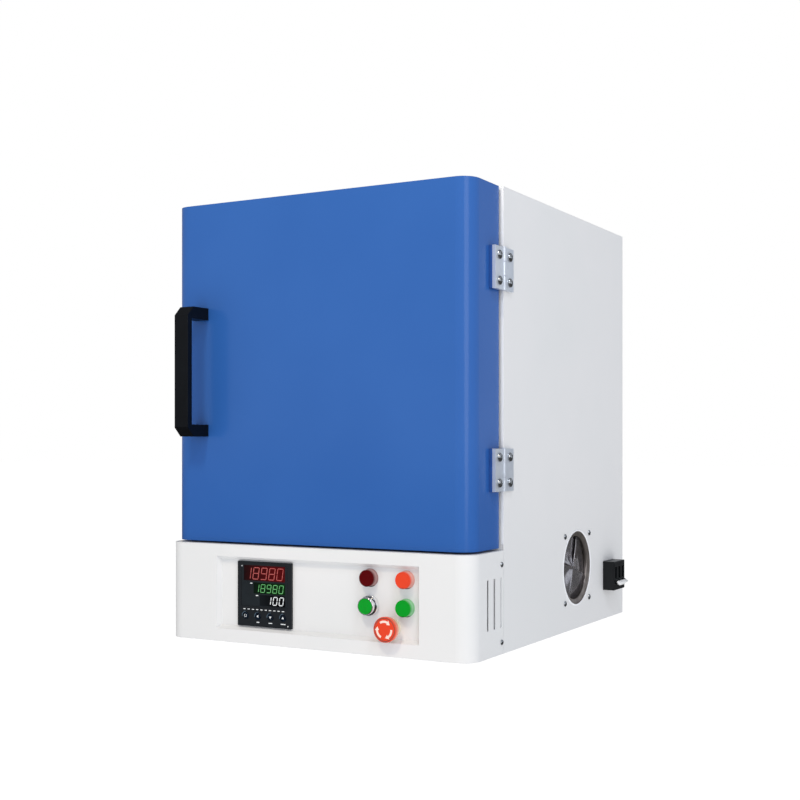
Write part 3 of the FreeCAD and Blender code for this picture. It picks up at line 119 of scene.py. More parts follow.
def make_studio():
    """A white room, darker overhead, with lights above the front and right and one between them."""
    bpy.context.scene.view_settings.view_transform = "Standard"
    world = bpy.data.worlds.new("white_room")
    bpy.context.scene.world = world
    world.use_nodes = True
    tree = world.node_tree
    toward = add_node(tree, "ShaderNodeTexCoord").outputs["Generated"]
    lean = add_node(tree, "ShaderNodeVectorMath", {0: toward, 1: (0.12, -0.15, -0.46)},
                    operation="DOT_PRODUCT")
    level = add_node(tree, "ShaderNodeMath", {0: lean.outputs["Value"], 1: 0.64})
    seen = add_node(tree, "ShaderNodeLightPath").outputs["Is Camera Ray"]
    level = add_node(tree, "ShaderNodeMath", {0: level.outputs[0], 1: seen}, operation="MAXIMUM")
    tint = add_node(tree, "ShaderNodeMix", {0: seen, 6: linear("#EFF5FF"), 7: linear("#FFFFFF")},
                    data_type="RGBA")
    room = tree.nodes["Background"]
    tree.links.new(tint.outputs[2], room.inputs["Color"])
    tree.links.new(level.outputs[0], room.inputs["Strength"])
    middle = (0, 0, 0.33)
    soft_light("front_light", (0.15, -2.0, 2.3), middle, (0.45, 0.45), 24, "#FFF1D8")
    soft_light("right_light", (1.5, -1.45, 2.4), middle, (0.4, 0.4), 12.5, "#F0F5FF")
    soft_light("corner_light", (2.5, -2.2, 0.95), (0.21, -0.28, 0.4), (1.5, 2.4), 17, "#FFFFFF")


# Shader nodes and materials

EVEN = (1, 1, 1)         # stretches of a pattern: small along the axis that it is drawn out on
ALONG_Y = (1, 0.02, 1)
ALONG_Z = (1, 1, 0.02)


def add_node(tree, kind, inputs=None, **settings):
    """Add a shader node. An input is a value or another node's output."""
    node = tree.nodes.new(kind)
    for name, setting in settings.items():
        setattr(node, name, setting)
    for socket, given in (inputs or {}).items():
        if isinstance(given, bpy.types.NodeSocket):
            tree.links.new(given, node.inputs[socket])
        else:
            node.inputs[socket].default_value = given
    return node


def new_material(name, **constants):
    """A material with one Principled shader, its tree, the shader, and the object's coordinates."""
    material = bpy.data.materials.new(name)
    material.use_nodes = True
    tree = material.node_tree
    shader = tree.nodes["Principled BSDF"]
    for socket, number in constants.items():
        shader.inputs[socket.replace("_", " ")].default_value = number
    place = add_node(tree, "ShaderNodeTexCoord").outputs["Object"]
    return material, tree, shader, place


def pattern(tree, place, size, detail=2.0, stretch=EVEN):
    """Noise whose spots are about size millimetres, drawn out where stretch is under 1."""
    spread = add_node(tree, "ShaderNodeMapping", {"Vector": place, "Scale": stretch})
    return add_node(tree, "ShaderNodeTexNoise",
                    {"Vector": spread.outputs["Vector"], "Scale": 1 / (size * MM),
                     "Detail": detail}).outputs[0]


def between(tree, amount, low, high, first, second):
    """Go from the first colour to the second as the amount goes from low to high."""
    share = add_node(tree, "ShaderNodeMapRange",
                     {"Value": amount, "From Min": low, "From Max": high})
    return add_node(tree, "ShaderNodeMix", {0: share.outputs["Result"], 6: linear(first),
                                            7: linear(second)},
                    data_type="RGBA").outputs[2]


def dress(tree, shader, height, depth, edge, roughness, spread, wear):
    """Give a shader its relief, its softened edges, and a roughness that varies with wear."""
    normal = add_node(tree, "ShaderNodeBevel", {"Radius": edge * MM}, samples=4)
    relief = add_node(tree, "ShaderNodeBump",
                      {"Height": height, "Distance": depth * MM, "Strength": 1.0,
                       "Normal": normal.outputs["Normal"]})
    tree.links.new(relief.outputs["Normal"], shader.inputs["Normal"])
    rough = add_node(tree, "ShaderNodeMapRange",
                     {"Value": wear, "From Min": 0.3, "From Max": 0.7,
                      "To Min": roughness - spread, "To Max": roughness + spread})
    tree.links.new(rough.outputs["Result"], shader.inputs["Roughness"])


def surface(name, colour, shade, roughness, blotch=60, grain=0.8, depth=0.02, edge=0.4, spread=0.04,
            stretch=EVEN, **constants):
    """A solid finish in one colour that drifts a little to a shade, with a fine relief."""
    material, tree, shader, place = new_material(name, **constants)
    cloud = pattern(tree, place, blotch)
    tree.links.new(between(tree, cloud, 0.35, 0.65, colour, shade), shader.inputs["Base Color"])
    dress(tree, shader, pattern(tree, place, grain, 3, stretch), depth, edge, roughness, spread,
          cloud)
    return material


def brushed(name, colour, shade, roughness, stretch, line=0.35, depth=0.01, edge=0.3, **constants):
    """A metal with scratches along one axis, drawn coarser than real ones so that they show."""
    material, tree, shader, place = new_material(name, Metallic=1.0, **constants)
    scratches = pattern(tree, place, line, 4, stretch)
    tree.links.new(between(tree, scratches, 0.3, 0.7, colour, shade), shader.inputs["Base Color"])
    dress(tree, shader, scratches, depth, edge, roughness, 0.07, scratches)
    return material


def spangled(name, colour, shade, roughness, crystal):
    """Zinc-coated sheet, whose flat crystals each catch the light a little differently."""
    material, tree, shader, place = new_material(name, Metallic=1.0)
    cells = add_node(tree, "ShaderNodeTexVoronoi", {"Vector": place, "Scale": 1 / (crystal * MM)})
    tone = add_node(tree, "ShaderNodeSeparateColor", {"Color": cells.outputs["Color"]})
    tree.links.new(between(tree, tone.outputs["Red"], 0, 1, colour, shade),
                   shader.inputs["Base Color"])
    dress(tree, shader, cells.outputs["Distance"], 0.004, 0.3, roughness, 0.06,
          tone.outputs["Red"])
    return material


def fibre_felt(name, colour, shade, strand, depth, soot=None):
    """Matt ceramic fibre: short strands pressed together, with soft hollows between them."""
    material, tree, shader, place = new_material(name, Sheen_Weight=0.15, Sheen_Roughness=0.6)
    clumps = pattern(tree, place, 14, 4)
    strands = pattern(tree, place, strand, 5, (1, 0.25, 0.6))
    crossing = pattern(tree, place, strand, 5, (0.3, 1, 0.9))
    felt = add_node(tree, "ShaderNodeMath", {0: strands, 1: crossing}, operation="MULTIPLY")
    lumps = add_node(tree, "ShaderNodeMath", {0: clumps, 1: 0.5, 2: felt.outputs[0]},
                     operation="MULTIPLY_ADD")
    tint = between(tree, lumps.outputs[0], 0.35, 0.75, shade, colour)
    if soot:
        stain = pattern(tree, place, 70, 3)
        share = add_node(tree, "ShaderNodeMapRange",
                         {"Value": stain, "From Min": 0.5, "From Max": 0.72, "To Max": 0.55})
        tint = add_node(tree, "ShaderNodeMix", {0: share.outputs["Result"], 6: tint,
                                                7: linear(soot)}, data_type="RGBA").outputs[2]
    tree.links.new(tint, shader.inputs["Base Color"])
    dress(tree, shader, lumps.outputs[0], depth, 0.8, 0.93, 0.04, clumps)
    return material


def lens_plastic(name, face, side, node):
    """Clear-tinted plastic: deep colour in the face, paler down the side, partly the plastic's own
    milkiness and partly a painted sheen, and painted shade along the lowest edge.
    """
    material, tree, shader, place = new_material(name, Specular_IOR_Level=0.1)
    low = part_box(node)[0]
    axes = add_node(tree, "ShaderNodeSeparateXYZ", {"Vector": place}).outputs
    # Paler down the side: partly the plastic's milkiness, partly a painted sheen.
    tint = between(tree, axes["Y"], low.y + 0.5 * MM, low.y + 7 * MM, face, side)
    # Painted shade: the lowest few millimetres of the piece are darkened.
    foot = between(tree, axes["Z"], low.z + 1.2 * MM, low.z + 3.2 * MM, "#7A7A7A", "#FFFFFF")
    both = add_node(tree, "ShaderNodeMix", {0: 1.0, 6: tint, 7: foot}, data_type="RGBA",
                    blend_type="MULTIPLY")
    tree.links.new(both.outputs[2], shader.inputs["Base Color"])
    ribs = pattern(tree, place, 1.2, 2)
    dress(tree, shader, ribs, 0.01, 0.3, 0.2, 0.05, pattern(tree, place, 6))
    return material


def lit(name, colour, strength, dark):
    """A lit segment under the controller's window, a little uneven along its length."""
    material, tree, shader, place = new_material(name, Roughness=0.5, Specular_IOR_Level=0.05,
                                                 Emission_Strength=strength)
    tree.links.new(between(tree, pattern(tree, place, 2.5), 0.3, 0.6, dark, colour),
                   shader.inputs["Emission Color"])
    shader.inputs["Base Color"].default_value = linear("#050505")
    return material


def window_glow(name, left, right, dark, bright):
    """The window behind a row of lit figures: dark at its left end, tinted at its right."""
    material, tree, shader, place = new_material(name, Roughness=0.5, Specular_IOR_Level=0.05,
                                                 Emission_Strength=0.9)
    across = add_node(tree, "ShaderNodeSeparateXYZ", {"Vector": place}).outputs["X"]
    haze = add_node(tree, "ShaderNodeMath", {0: pattern(tree, place, 5), 1: 0.012, 2: across},
                    operation="MULTIPLY_ADD")
    tree.links.new(between(tree, haze.outputs[0], left * MM, right * MM, dark, bright),
                   shader.inputs["Emission Color"])
    shader.inputs["Base Color"].default_value = linear("#040404")
    return material


def make_materials():
    """One finish for each slot of the record, and those of the scene's own pieces."""
    return {
        # Polyester powder coat baked on steel: satin, with a fine orange peel about 1 mm across.
        "case_paint": surface("grey_powder_coat", "#E7E7E8", "#E4E5E6", 0.45, 180, 1.1, 0.012, 0.8,
                              Specular_IOR_Level=0.25),
        # The same coat in deep blue, under a clear layer that gives it a soft sheen.
        "door_paint": surface("blue_powder_coat", "#2E61AC", "#2B5EA9", 0.38, 180, 1.1, 0.01, 0.8,
                              0.02, Specular_IOR_Level=0.06, Coat_Weight=0.5,
                              Coat_Roughness=0.17),
        # Glass-filled nylon from an eroded mould: near black, fine grain, soft highlights.
        "handle_plastic": surface("black_moulded_nylon", "#07090D", "#0A0D12", 0.34, 30, 0.5, 0.015,
                                  1.0, Specular_IOR_Level=0.16),
        # Powder coat in a whiter shade than the case's, on the folded edges of its sheet: a painted
        # highlight.
        "painted_highlight_coat": surface("powder_coat_painted_highlight", "#F8F9FC", "#F6F8FB", 0.4, 180, 1.1, 0.012, 0.8,
                             Specular_IOR_Level=0.3),
        # Hot-dip galvanised sheet: dull grey with visible crystals.
        "galvanised_sheet": spangled("galvanised_steel", "#9CA0A4", "#B4B8BB", 0.42, 9),
        # Rolled stainless sheet with a grained finish up and down.
        "stainless_sheet": brushed("grained_stainless", "#B7B6B2", "#A3A29E", 0.32, ALONG_Z),
        # Vacuum-formed alumina-silica fibre board: chalky white and completely matt.
        "fibre_board": fibre_felt("ceramic_fibre_board", "#F1EEE6", "#D9D3C6", 0.9, 0.35,
                                  "#B9A78E"),
        # Fired cordierite: warm grey-buff, gritty, with darker specks.
        "hearth_ceramic": surface("fired_cordierite", "#CDBFA6", "#A8977C", 0.88, 5, 0.7, 0.12, 0.8,
                                  0.05),
        # Twisted ceramic fibre rope: off-white and fuzzy.
        "seal_rope": fibre_felt("ceramic_fibre_rope", "#ECE8DD", "#BDB5A4", 0.5, 0.2),
        # Iron-chromium-aluminium wire after firing: a matt grey-brown oxide.
        "heating_wire": surface("oxidised_resistance_wire", "#55493F", "#6E6257", 0.55, 4, 0.3,
                                0.02, 0.1, 0.08, Metallic=0.6),
        # Steel sheath tinted by heat: grey-brown, in streaks along its length.
        "probe_steel": brushed("heat_tinted_steel", "#9A8F80", "#7C6A58", 0.38, ALONG_Y),
        # Die-cast zinc leaves, plated and brushed up and down: a pale satin.
        "hinge_steel": surface("satin_zinc_casting", "#DEE5EF", "#D2D9E4", 0.34, 20, 0.5, 0.01, 0.4,
                               stretch=ALONG_Z, Metallic=0.55),
        # Zinc plate on machine screws: bright enough to mirror the room.
        "screw_steel": brushed("bright_zinc_plate", "#C8CACC", "#B2B5B8", 0.12, EVEN, 0.8, 0.006,
                               0.15),
        # Moulded spacer blocks in the door's blue, half matt.
        "packer_plastic": surface("blue_moulded_nylon", "#2B559C", "#284F94", 0.5, 20, 0.6, 0.02,
                                  Specular_IOR_Level=0.2),
        # Die-cast aluminium fan frame, tumbled: pewter grey with a faint pebbled skin.
        "fan_casting": surface("tumbled_aluminium_casting", "#A9A09A", "#948C87", 0.40, 12, 0.8,
                               0.04, 0.6, 0.06, Metallic=0.9),
        # Pressed aluminium blades, polished: nearly a mirror.
        "fan_blade_metal": surface("polished_aluminium_blades", "#D4D0D2", "#BDBAC0", 0.17, 6, 1.5,
                                   0.012, 0.2, Metallic=0.93),
        # Air-dried black enamel on the motor can: smooth, with a low gloss.
        "motor_black": surface("black_enamel", "#141415", "#1B1B1D", 0.3, 15, 1.0, 0.02),
        # Thermoset moulding: black with a slight gloss.
        "breaker_plastic": surface("black_thermoset", "#111315", "#15181A", 0.36, 18, 0.5, 0.012,
                                   0.8, Specular_IOR_Level=0.25),
        # White urea moulding, glossy.
        "lever_plastic": surface("white_urea_moulding", "#F8F9FA", "#F2F4F5", 0.3, 8, 1.0, 0.006,
                                 0.5),
        # Flame-retardant ABS from an eroded mould: dark slate, fine grain.
        "meter_plastic": surface("slate_abs", "#1B1F23", "#1E2227", 0.42, 20, 0.4, 0.012, 0.5,
                                 Specular_IOR_Level=0.25),
        # Smoked acrylic, polished: a dark, even window.
        "display_window": surface("smoked_acrylic", "#1E2327", "#21272C", 0.3, 25, 2.0, 0.002, 0.3,
                                  Specular_IOR_Level=0.2),
        # Polycarbonate key caps, though their slot is named rubber: glossy dark navy.
        "key_rubber": surface("navy_key_cap", "#0A121B", "#0E1D2C", 0.25, 4, 0.8, 0.006, 0.3,
                              Specular_IOR_Level=0.2),
        # Zinc-coated steel strip: bright grey, its crystals smaller than the sheet's.
        "clamp_steel": spangled("zinc_plated_strip", "#A9ABAA", "#C0C1BC", 0.34, 3),
        # Cast acrylic caps of the lamps, unlit: deep colour in the face and a paler side, partly
        # the acrylic's milkiness and partly a painted sheen, with painted shade along the lowest
        # edge.
        "lens_heating": lens_plastic("maroon_acrylic", "#560509", "#A58584", "heating_lens"),
        "lens_power": lens_plastic("orange_red_acrylic", "#E4472B", "#DDA39A", "power_lens"),
        "lens_running": lens_plastic("green_acrylic", "#0A9B28", "#8CC596", "running_lens"),
        # Black nylon lamp bodies and nuts, plain moulded.
        "lamp_plastic": surface("black_nylon", "#121314", "#17181A", 0.45, 12, 0.6, 0.02),
        # Chrome plate on a turned brass ring: almost white, with a slight blur.
        "bezel_chrome": brushed("satin_chrome", "#F2F3F4", "#E4E6E8", 0.14, EVEN, 0.6, 0.004, 0.3),
        # ABS cap, glossy green.
        "button_green": surface("green_abs_cap", "#0A9E2A", "#0C9628", 0.28, 9, 1.2, 0.005, 0.5,
                                Specular_IOR_Level=0.1),
        # Polycarbonate mushroom head, glossy signal red, its paler side a painted highlight and its
        # lowest edge painted shade.
        "stop_red": lens_plastic("signal_red_polycarbonate", "#E5472B", "#F29A86", "stop_head"),
        # Painted shade: a darker red line laid in the mushroom head's groove.
        "groove_painted_shade": surface("dull_red_painted_shade", "#9E5546", "#8E4638", 0.5, 6, 0.6, 0.01, 0.1),
        # Moulded nylon collar under the mushroom head: pale yellow, though its slot is named black.
        "stop_black": surface("pale_nylon_collar", "#EFE8CF", "#E8E0C4", 0.45, 12, 0.6, 0.02),
        # Extruded aluminium with a natural anodised skin and fine die lines.
        "sink_aluminium": brushed("extruded_aluminium", "#B9BCBE", "#A7AAAD", 0.35, ALONG_Z, 0.6),
        # Moulded thermoset of the relay's case: ivory, half matt.
        "relay_plastic": surface("ivory_thermoset", "#CFCAB8", "#C6C0AD", 0.45, 14, 0.6, 0.015),
        # Moulded phenolic of the terminal strip: black, a little dusty.
        "terminal_plastic": surface("black_phenolic", "#1A1A1B", "#222223", 0.4, 10, 0.5, 0.015),
        # Nitrile rubber feet: matt black with a dusty bloom.
        "foot_rubber": surface("black_rubber", "#0D0D0D", "#1A1A19", 0.8, 8, 0.9, 0.05),
        # Moulded nylon of the cable gland: black with soft highlights.
        "gland_nylon": surface("black_nylon_gland", "#131415", "#191A1B", 0.42, 10, 0.5, 0.015),
        # Sintered ferrite: dark grey, dry and finely grained.
        "magnet_ferrite": surface("sintered_ferrite", "#2A2A2B", "#353536", 0.6, 3, 0.4, 0.03),
        # Lit segments behind the controller's window, then the haze of light round each row.
        "red_digits": lit("lit_red_segments", "#D0706C", 0.9, "#B04644"),
        "green_digits": lit("lit_green_segments", "#86D68C", 0.9, "#57B562"),
        "white_digits": lit("lit_white_segments", "#F4F7F8", 1.0, "#D5DBDE"),
        "red_glow": window_glow("red_glow_behind_digits", -130, -75, "#160A0C", "#52090C"),
        "green_glow": window_glow("green_glow_behind_digits", -112, -75, "#0A140F", "#062A0C"),
        "white_glow": window_glow("blue_black_behind_digits", -104, -70, "#1A1E22", "#030406"),
        # Screen print: flat matt ink, white, and peach on the red head; the grey-blue arcs round
        # the keys are a painted highlight in the same flat ink.
        "print_white": surface("white_screen_print", "#E9ECEE", "#DDE1E4", 0.5, 3, 0.5, 0.004,
                               0.05),
        "painted_highlight_arcs": surface("grey_blue_painted_highlight", "#6F8CA3", "#40566A", 0.4, 3, 0.5, 0.004,
                              0.05),
        "print_peach": surface("peach_white_screen_print", "#FBE3D6", "#F6D7C8", 0.4, 4, 0.5, 0.004,
                               0.05),
    }


# Meshes

def place_of(x, y, z):
    return Vector((x, y, z)) * MM


def spot_of(node):
    """The middle of a CAD node across, its front, its rear, and its middle up, in millimetres."""
    low, high = box_of(node)
    return (low.x + high.x) / 2, low.y, high.y, (low.z + high.z) / 2


def tidy_mesh(bm, name, smooth_below=35):
    """Merge doubles, turn the faces outwards and write a mesh, smooth except at sharp edges."""
    bmesh.ops.remove_doubles(bm, verts=bm.verts, dist=1e-7)
    bmesh.ops.recalc_face_normals(bm, faces=bm.faces)
    mesh = bpy.data.meshes.new(name)
    bm.to_mesh(mesh)
    bm.free()
    mesh.shade_smooth()
    mesh.set_sharp_from_angle(angle=math.radians(smooth_below))
    return mesh


def add_piece(name, mesh, body, finish, slot, *nodes):
    """Show a mesh as a piece that rides on a body and stands for the CAD nodes named."""
    item = bpy.data.objects.new(name, mesh)
    bpy.context.scene.collection.objects.link(item)
    mesh.materials.clear()
    mesh.materials.append(MATERIALS[finish])
    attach(item, body)
    if nodes:
        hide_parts(*nodes)
    return item


def soften(bm, width, segments=3, sharper_than=30):
    """Round off every edge that is sharper than an angle."""
    edges = [edge for edge in bm.edges if len(edge.link_faces) == 2
             and edge.calc_face_angle() > math.radians(sharper_than)]
    bmesh.ops.bevel(bm, geom=edges, offset=width * MM, affect="EDGES", segments=segments,
                    profile=0.5, material=-1, clamp_overlap=True)


def add_to(whole, bm):
    """Add one bmesh to another and free it."""
    part = bpy.data.meshes.new("part")
    bm.to_mesh(part)
    bm.free()
    whole.from_mesh(part)
    bpy.data.meshes.remove(part)


def turned(profile, steps=48):
    """A solid of revolution about z, from (radius, height) points in millimetres."""
    bm = bmesh.new()
    points = [bm.verts.new(place_of(radius, 0, height)) for radius, height in profile]
    sides = [bm.edges.new(pair) for pair in zip(points, points[1:])]
    bmesh.ops.spin(bm, geom=points + sides, cent=(0, 0, 0), axis=(0, 0, 1), dvec=(0, 0, 0),
                   angle=math.tau, steps=steps, use_merge=True)
    bmesh.ops.remove_doubles(bm, verts=bm.verts, dist=1e-7)
    bmesh.ops.recalc_face_normals(bm, faces=bm.faces)
    return bm


TO_FRONT = Matrix.Rotation(math.radians(90), 4, "X")      # the mesh's z to the furnace's front
TO_REAR = Matrix.Rotation(math.radians(-90), 4, "X")
TO_RIGHT = Matrix.Rotation(math.radians(90), 4, "Y")
TO_LEFT = Matrix.Rotation(math.radians(-90), 4, "Y")


def copies(bm, turn, spots):
    """The same shape at several spots, turned to face the right way, in one new bmesh."""
    model = bpy.data.meshes.new("model")
    bm.to_mesh(model)
    bm.free()
    whole = bmesh.new()
    for spot in spots:
        before = len(whole.verts)
        whole.from_mesh(model)
        whole.verts.ensure_lookup_table()
        bmesh.ops.transform(whole, matrix=Matrix.Translation(place_of(*spot)) @ turn,
                            verts=whole.verts[before:])
    bpy.data.meshes.remove(model)
    return whole


def flat_shapes(outlines, front, thick):
    """Thin plates that face the front, from outlines of (x, z) points in millimetres."""
    bm = bmesh.new()
    for outline in outlines:
        face = bm.faces.new([bm.verts.new(place_of(x, front, z)) for x, z in outline])
        grown = bmesh.ops.extrude_face_region(bm, geom=[face])["geom"]
        bmesh.ops.translate(bm, vec=place_of(0, thick, 0),
                            verts=[item for item in grown if isinstance(item, bmesh.types.BMVert)])
    return bm


def tube(name, lines, radius, closed=False, sides=1):
    """A mesh of round wire along each line of points in millimetres."""
    curve = bpy.data.curves.new(name, "CURVE")
    curve.dimensions = "3D"
    curve.bevel_depth = radius * MM
    curve.bevel_resolution = sides
    curve.use_fill_caps = not closed
    for line in lines:
        spline = curve.splines.new("POLY")
        spline.points.add(len(line) - 1)
        for point, spot in zip(spline.points, line):
            point.co = (*place_of(*spot), 1)
        spline.use_cyclic_u = closed
    holder = bpy.data.objects.new(name, curve)
    mesh = bpy.data.meshes.new_from_object(holder)
    bpy.data.objects.remove(holder)
    bpy.data.curves.remove(curve)
    mesh.shade_smooth()
    return mesh


def wind(route, across, pitch, offset, phase=0.0, points_a_turn=8):
    """Points of a wire wound round a route, which is a function of length, and its length."""
    at, length, turns = route[0], route[1], round(route[1] / pitch)
    steps = turns * points_a_turn
    points = []
    for step in range(steps + 1):
        along = length * step / steps
        centre = Vector(at(along))
        ahead = Vector(at(min(along + 0.5, length))) - Vector(at(max(along - 0.5, 0)))
        ahead.normalize()
        beside = ahead.cross(Vector(across)).normalized()
        angle = math.tau * (turns * along / length + phase)
        points.append(centre + offset * (math.cos(angle) * Vector(across)
                                         + math.sin(angle) * beside))
    return points


# Controller face

WINDOW_FACE = box_of("controller_window")[0].y
KEY_FACE = box_of("mode_key")[0].y
INK = 0.12               # thickness of print and lit panes
ROWS_FROM = (CASE_MIDDLE, 6.0)       # the x and z that the window's rows are measured from
SEGMENTS = {"0": "abcdef", "1": "bc", "8": "abcdefg", "9": "abcdfg"}
SLANT = 0.15             # how far a figure leans for its height


def segment_bar(start, end, half):
    """A six-sided bar between two points, pointed at both ends."""
    along = (Vector(end) - Vector(start)).normalized()
    aside = Vector((-along.y, along.x)) * half
    start, end = Vector(start) + along * half * 0.35, Vector(end) - along * half * 0.35
    return [start, start + along * half - aside, end - along * half - aside, end,
            end - along * half + aside, start + along * half + aside]


def digits(text, right, low, width, height, pitch, half):
    """Seven-segment figures, the last one's right side at right."""
    ends = {"a": ((0, 2), (1, 2)), "b": ((1, 2), (1, 1)), "c": ((1, 1), (1, 0)),
            "d": ((0, 0), (1, 0)), "e": ((0, 1), (0, 0)), "f": ((0, 2), (0, 1)),
            "g": ((0, 1), (1, 1))}
    outlines = []
    for number, figure in enumerate(reversed(text)):
        left = right - width - number * pitch
        for segment in SEGMENTS[figure]:
            start, end = [(x * (width - 2 * half) + half, z * (height - 2 * half) / 2 + half)
                          for x, z in ends[segment]]
            outlines.append([(left + x + SLANT * (z - height), low + z)
                             for x, z in segment_bar(start, end, half)])
    return outlines


def upright(left, low, right, high):
    return [(left, low), (right, low), (right, high), (left, high)]


def moved(outlines, across, up):
    return [[(x + across, z + up) for x, z in outline] for outline in outlines]


def circle(middle, radius, sides):
    return [(middle[0] + radius * math.cos(a), middle[1] + radius * math.sin(a))
            for a in [math.tau * step / sides for step in range(sides)]]


def make_display():
    """Tinted panes behind the window's three rows, the lit figures, and a dash beside each row."""
    panes = {"red": (-120.1, 93.4, -46.6, 115.8), "green": (-102.3, 74.6, -46.2, 90.8),
             "white": (-91.4, 56.8, -46.0, 72.9)}
    figures = {"red": digits("18980", -48.6, 95.2, 10.7, 18.0, 14.2, 0.58),
               "green": digits("18980", -48.4, 76.3, 7.8, 12.3, 10.8, 0.46),
               "white": digits("100", -47.8, 58.4, 8.0, 12.9, 11.0, 0.68)}
    for tone, corners in panes.items():
        for kind, outlines, ahead in (("_glow", [upright(*corners)], INK / 2),
                                      ("_digits", figures[tone], 1.6 * INK)):
            bm = flat_shapes(moved(outlines, *ROWS_FROM), WINDOW_FACE - ahead, INK)
            add_piece(tone + kind, tidy_mesh(bm, tone + kind), "cabinet", tone + kind,
                      "display_window")
    marks = [upright(-126.6, 113.6, -122.6, 115.2), upright(-108.5, 88.6, -104.5, 90.0),
             upright(-98.3, 70.8, -94.0, 72.2)]
    bm = flat_shapes(moved(marks, *ROWS_FROM), WINDOW_FACE - INK, INK)
    add_piece("legend_marks", tidy_mesh(bm, "legend_marks"), "cabinet", "print_white",
              "display_window")


def arc(middle, inner, outer, start, end, steps=14):
    """A flat band between two radii, from one angle to another in degrees."""
    angles = [math.radians(start + (end - start) * step / steps) for step in range(steps + 1)]
    rim = [(middle[0] + outer * math.cos(a), middle[1] + outer * math.sin(a)) for a in angles]
    bore = [(middle[0] + inner * math.cos(a), middle[1] + inner * math.sin(a)) for a in angles]
    return rim + bore[::-1]


def arrow(middle, inner, outer, start, end, flare, lead):
    """A curved arrow from one angle to another in degrees, its head at the end."""
    band = arc(middle, inner, outer, start, end)
    half = len(band) // 2
    mid = (inner + outer) / 2

    def at(radius, angle):
        turn = math.radians(angle)
        return (middle[0] + radius * math.cos(turn), middle[1] + radius * math.sin(turn))
    ahead = end + math.copysign(lead, end - start)
    head = [at(outer + flare, end), at(mid, ahead), at(inner - flare, end)]
    return band[:half] + head + band[half:]


KEYS = {"mode_key": -129.75, "shift_key": -107.45, "down_key": -85.15, "up_key": -62.85}
KEY_HIGH = 47.0          # z of the keys' middles


def make_key_marks():
    """A painted highlight on the upper left of each key's rim, and on its cap a loop or an
    arrowhead.
    """
    size = 2.4
    heads = {"shift_key": 180, "down_key": 270, "up_key": 90}
    rings = []
    for name, x in KEYS.items():
        middle = (x, KEY_HIGH)
        # Painted highlight: a grey-blue arc on the upper left of the key's rim.
        rings.append(arc(middle, 6.0, 6.5, 85, 190, 20))
        if name == "mode_key":
            shapes = [arrow(middle, 1.7, 2.3, 70, -225, 0.6, 24)]
        else:
            turns = [math.radians(heads[name] + step) for step in (0, 118, 242)]
            shapes = [[(x + size * math.cos(a), KEY_HIGH + size * math.sin(a)) for a in turns]]
        add_piece(name + "_symbol", tidy_mesh(flat_shapes(shapes, KEY_FACE - INK, INK), name),
                  name, "print_white", "key_rubber")
    add_piece("key_rim_painted_highlights", tidy_mesh(flat_shapes(rings, BEZEL_FACE - INK, INK), "key_rim_painted_highlights"),
              "cabinet", "painted_highlight_arcs", "meter_plastic")
    bars = [upright(KEYS[name] - half, 37.4, KEYS[name] + half, 38.8)
            for name, half in (("shift_key", 2.4), ("down_key", 3.2), ("up_key", 4.2))]
    bars += [upright(-133.9 + 7.67 * number, 56.2, -130 + 7.67 * number, 57.4)
             for number in range(10)]
    bars.append(circle((-54.3, 35.4), 0.9, 16))
    add_piece("bezel_marks", tidy_mesh(flat_shapes(bars, BEZEL_FACE - INK, INK), "bezel_marks"),
              "cabinet", "print_white", "meter_plastic")


# Lamps, start button and emergency stop

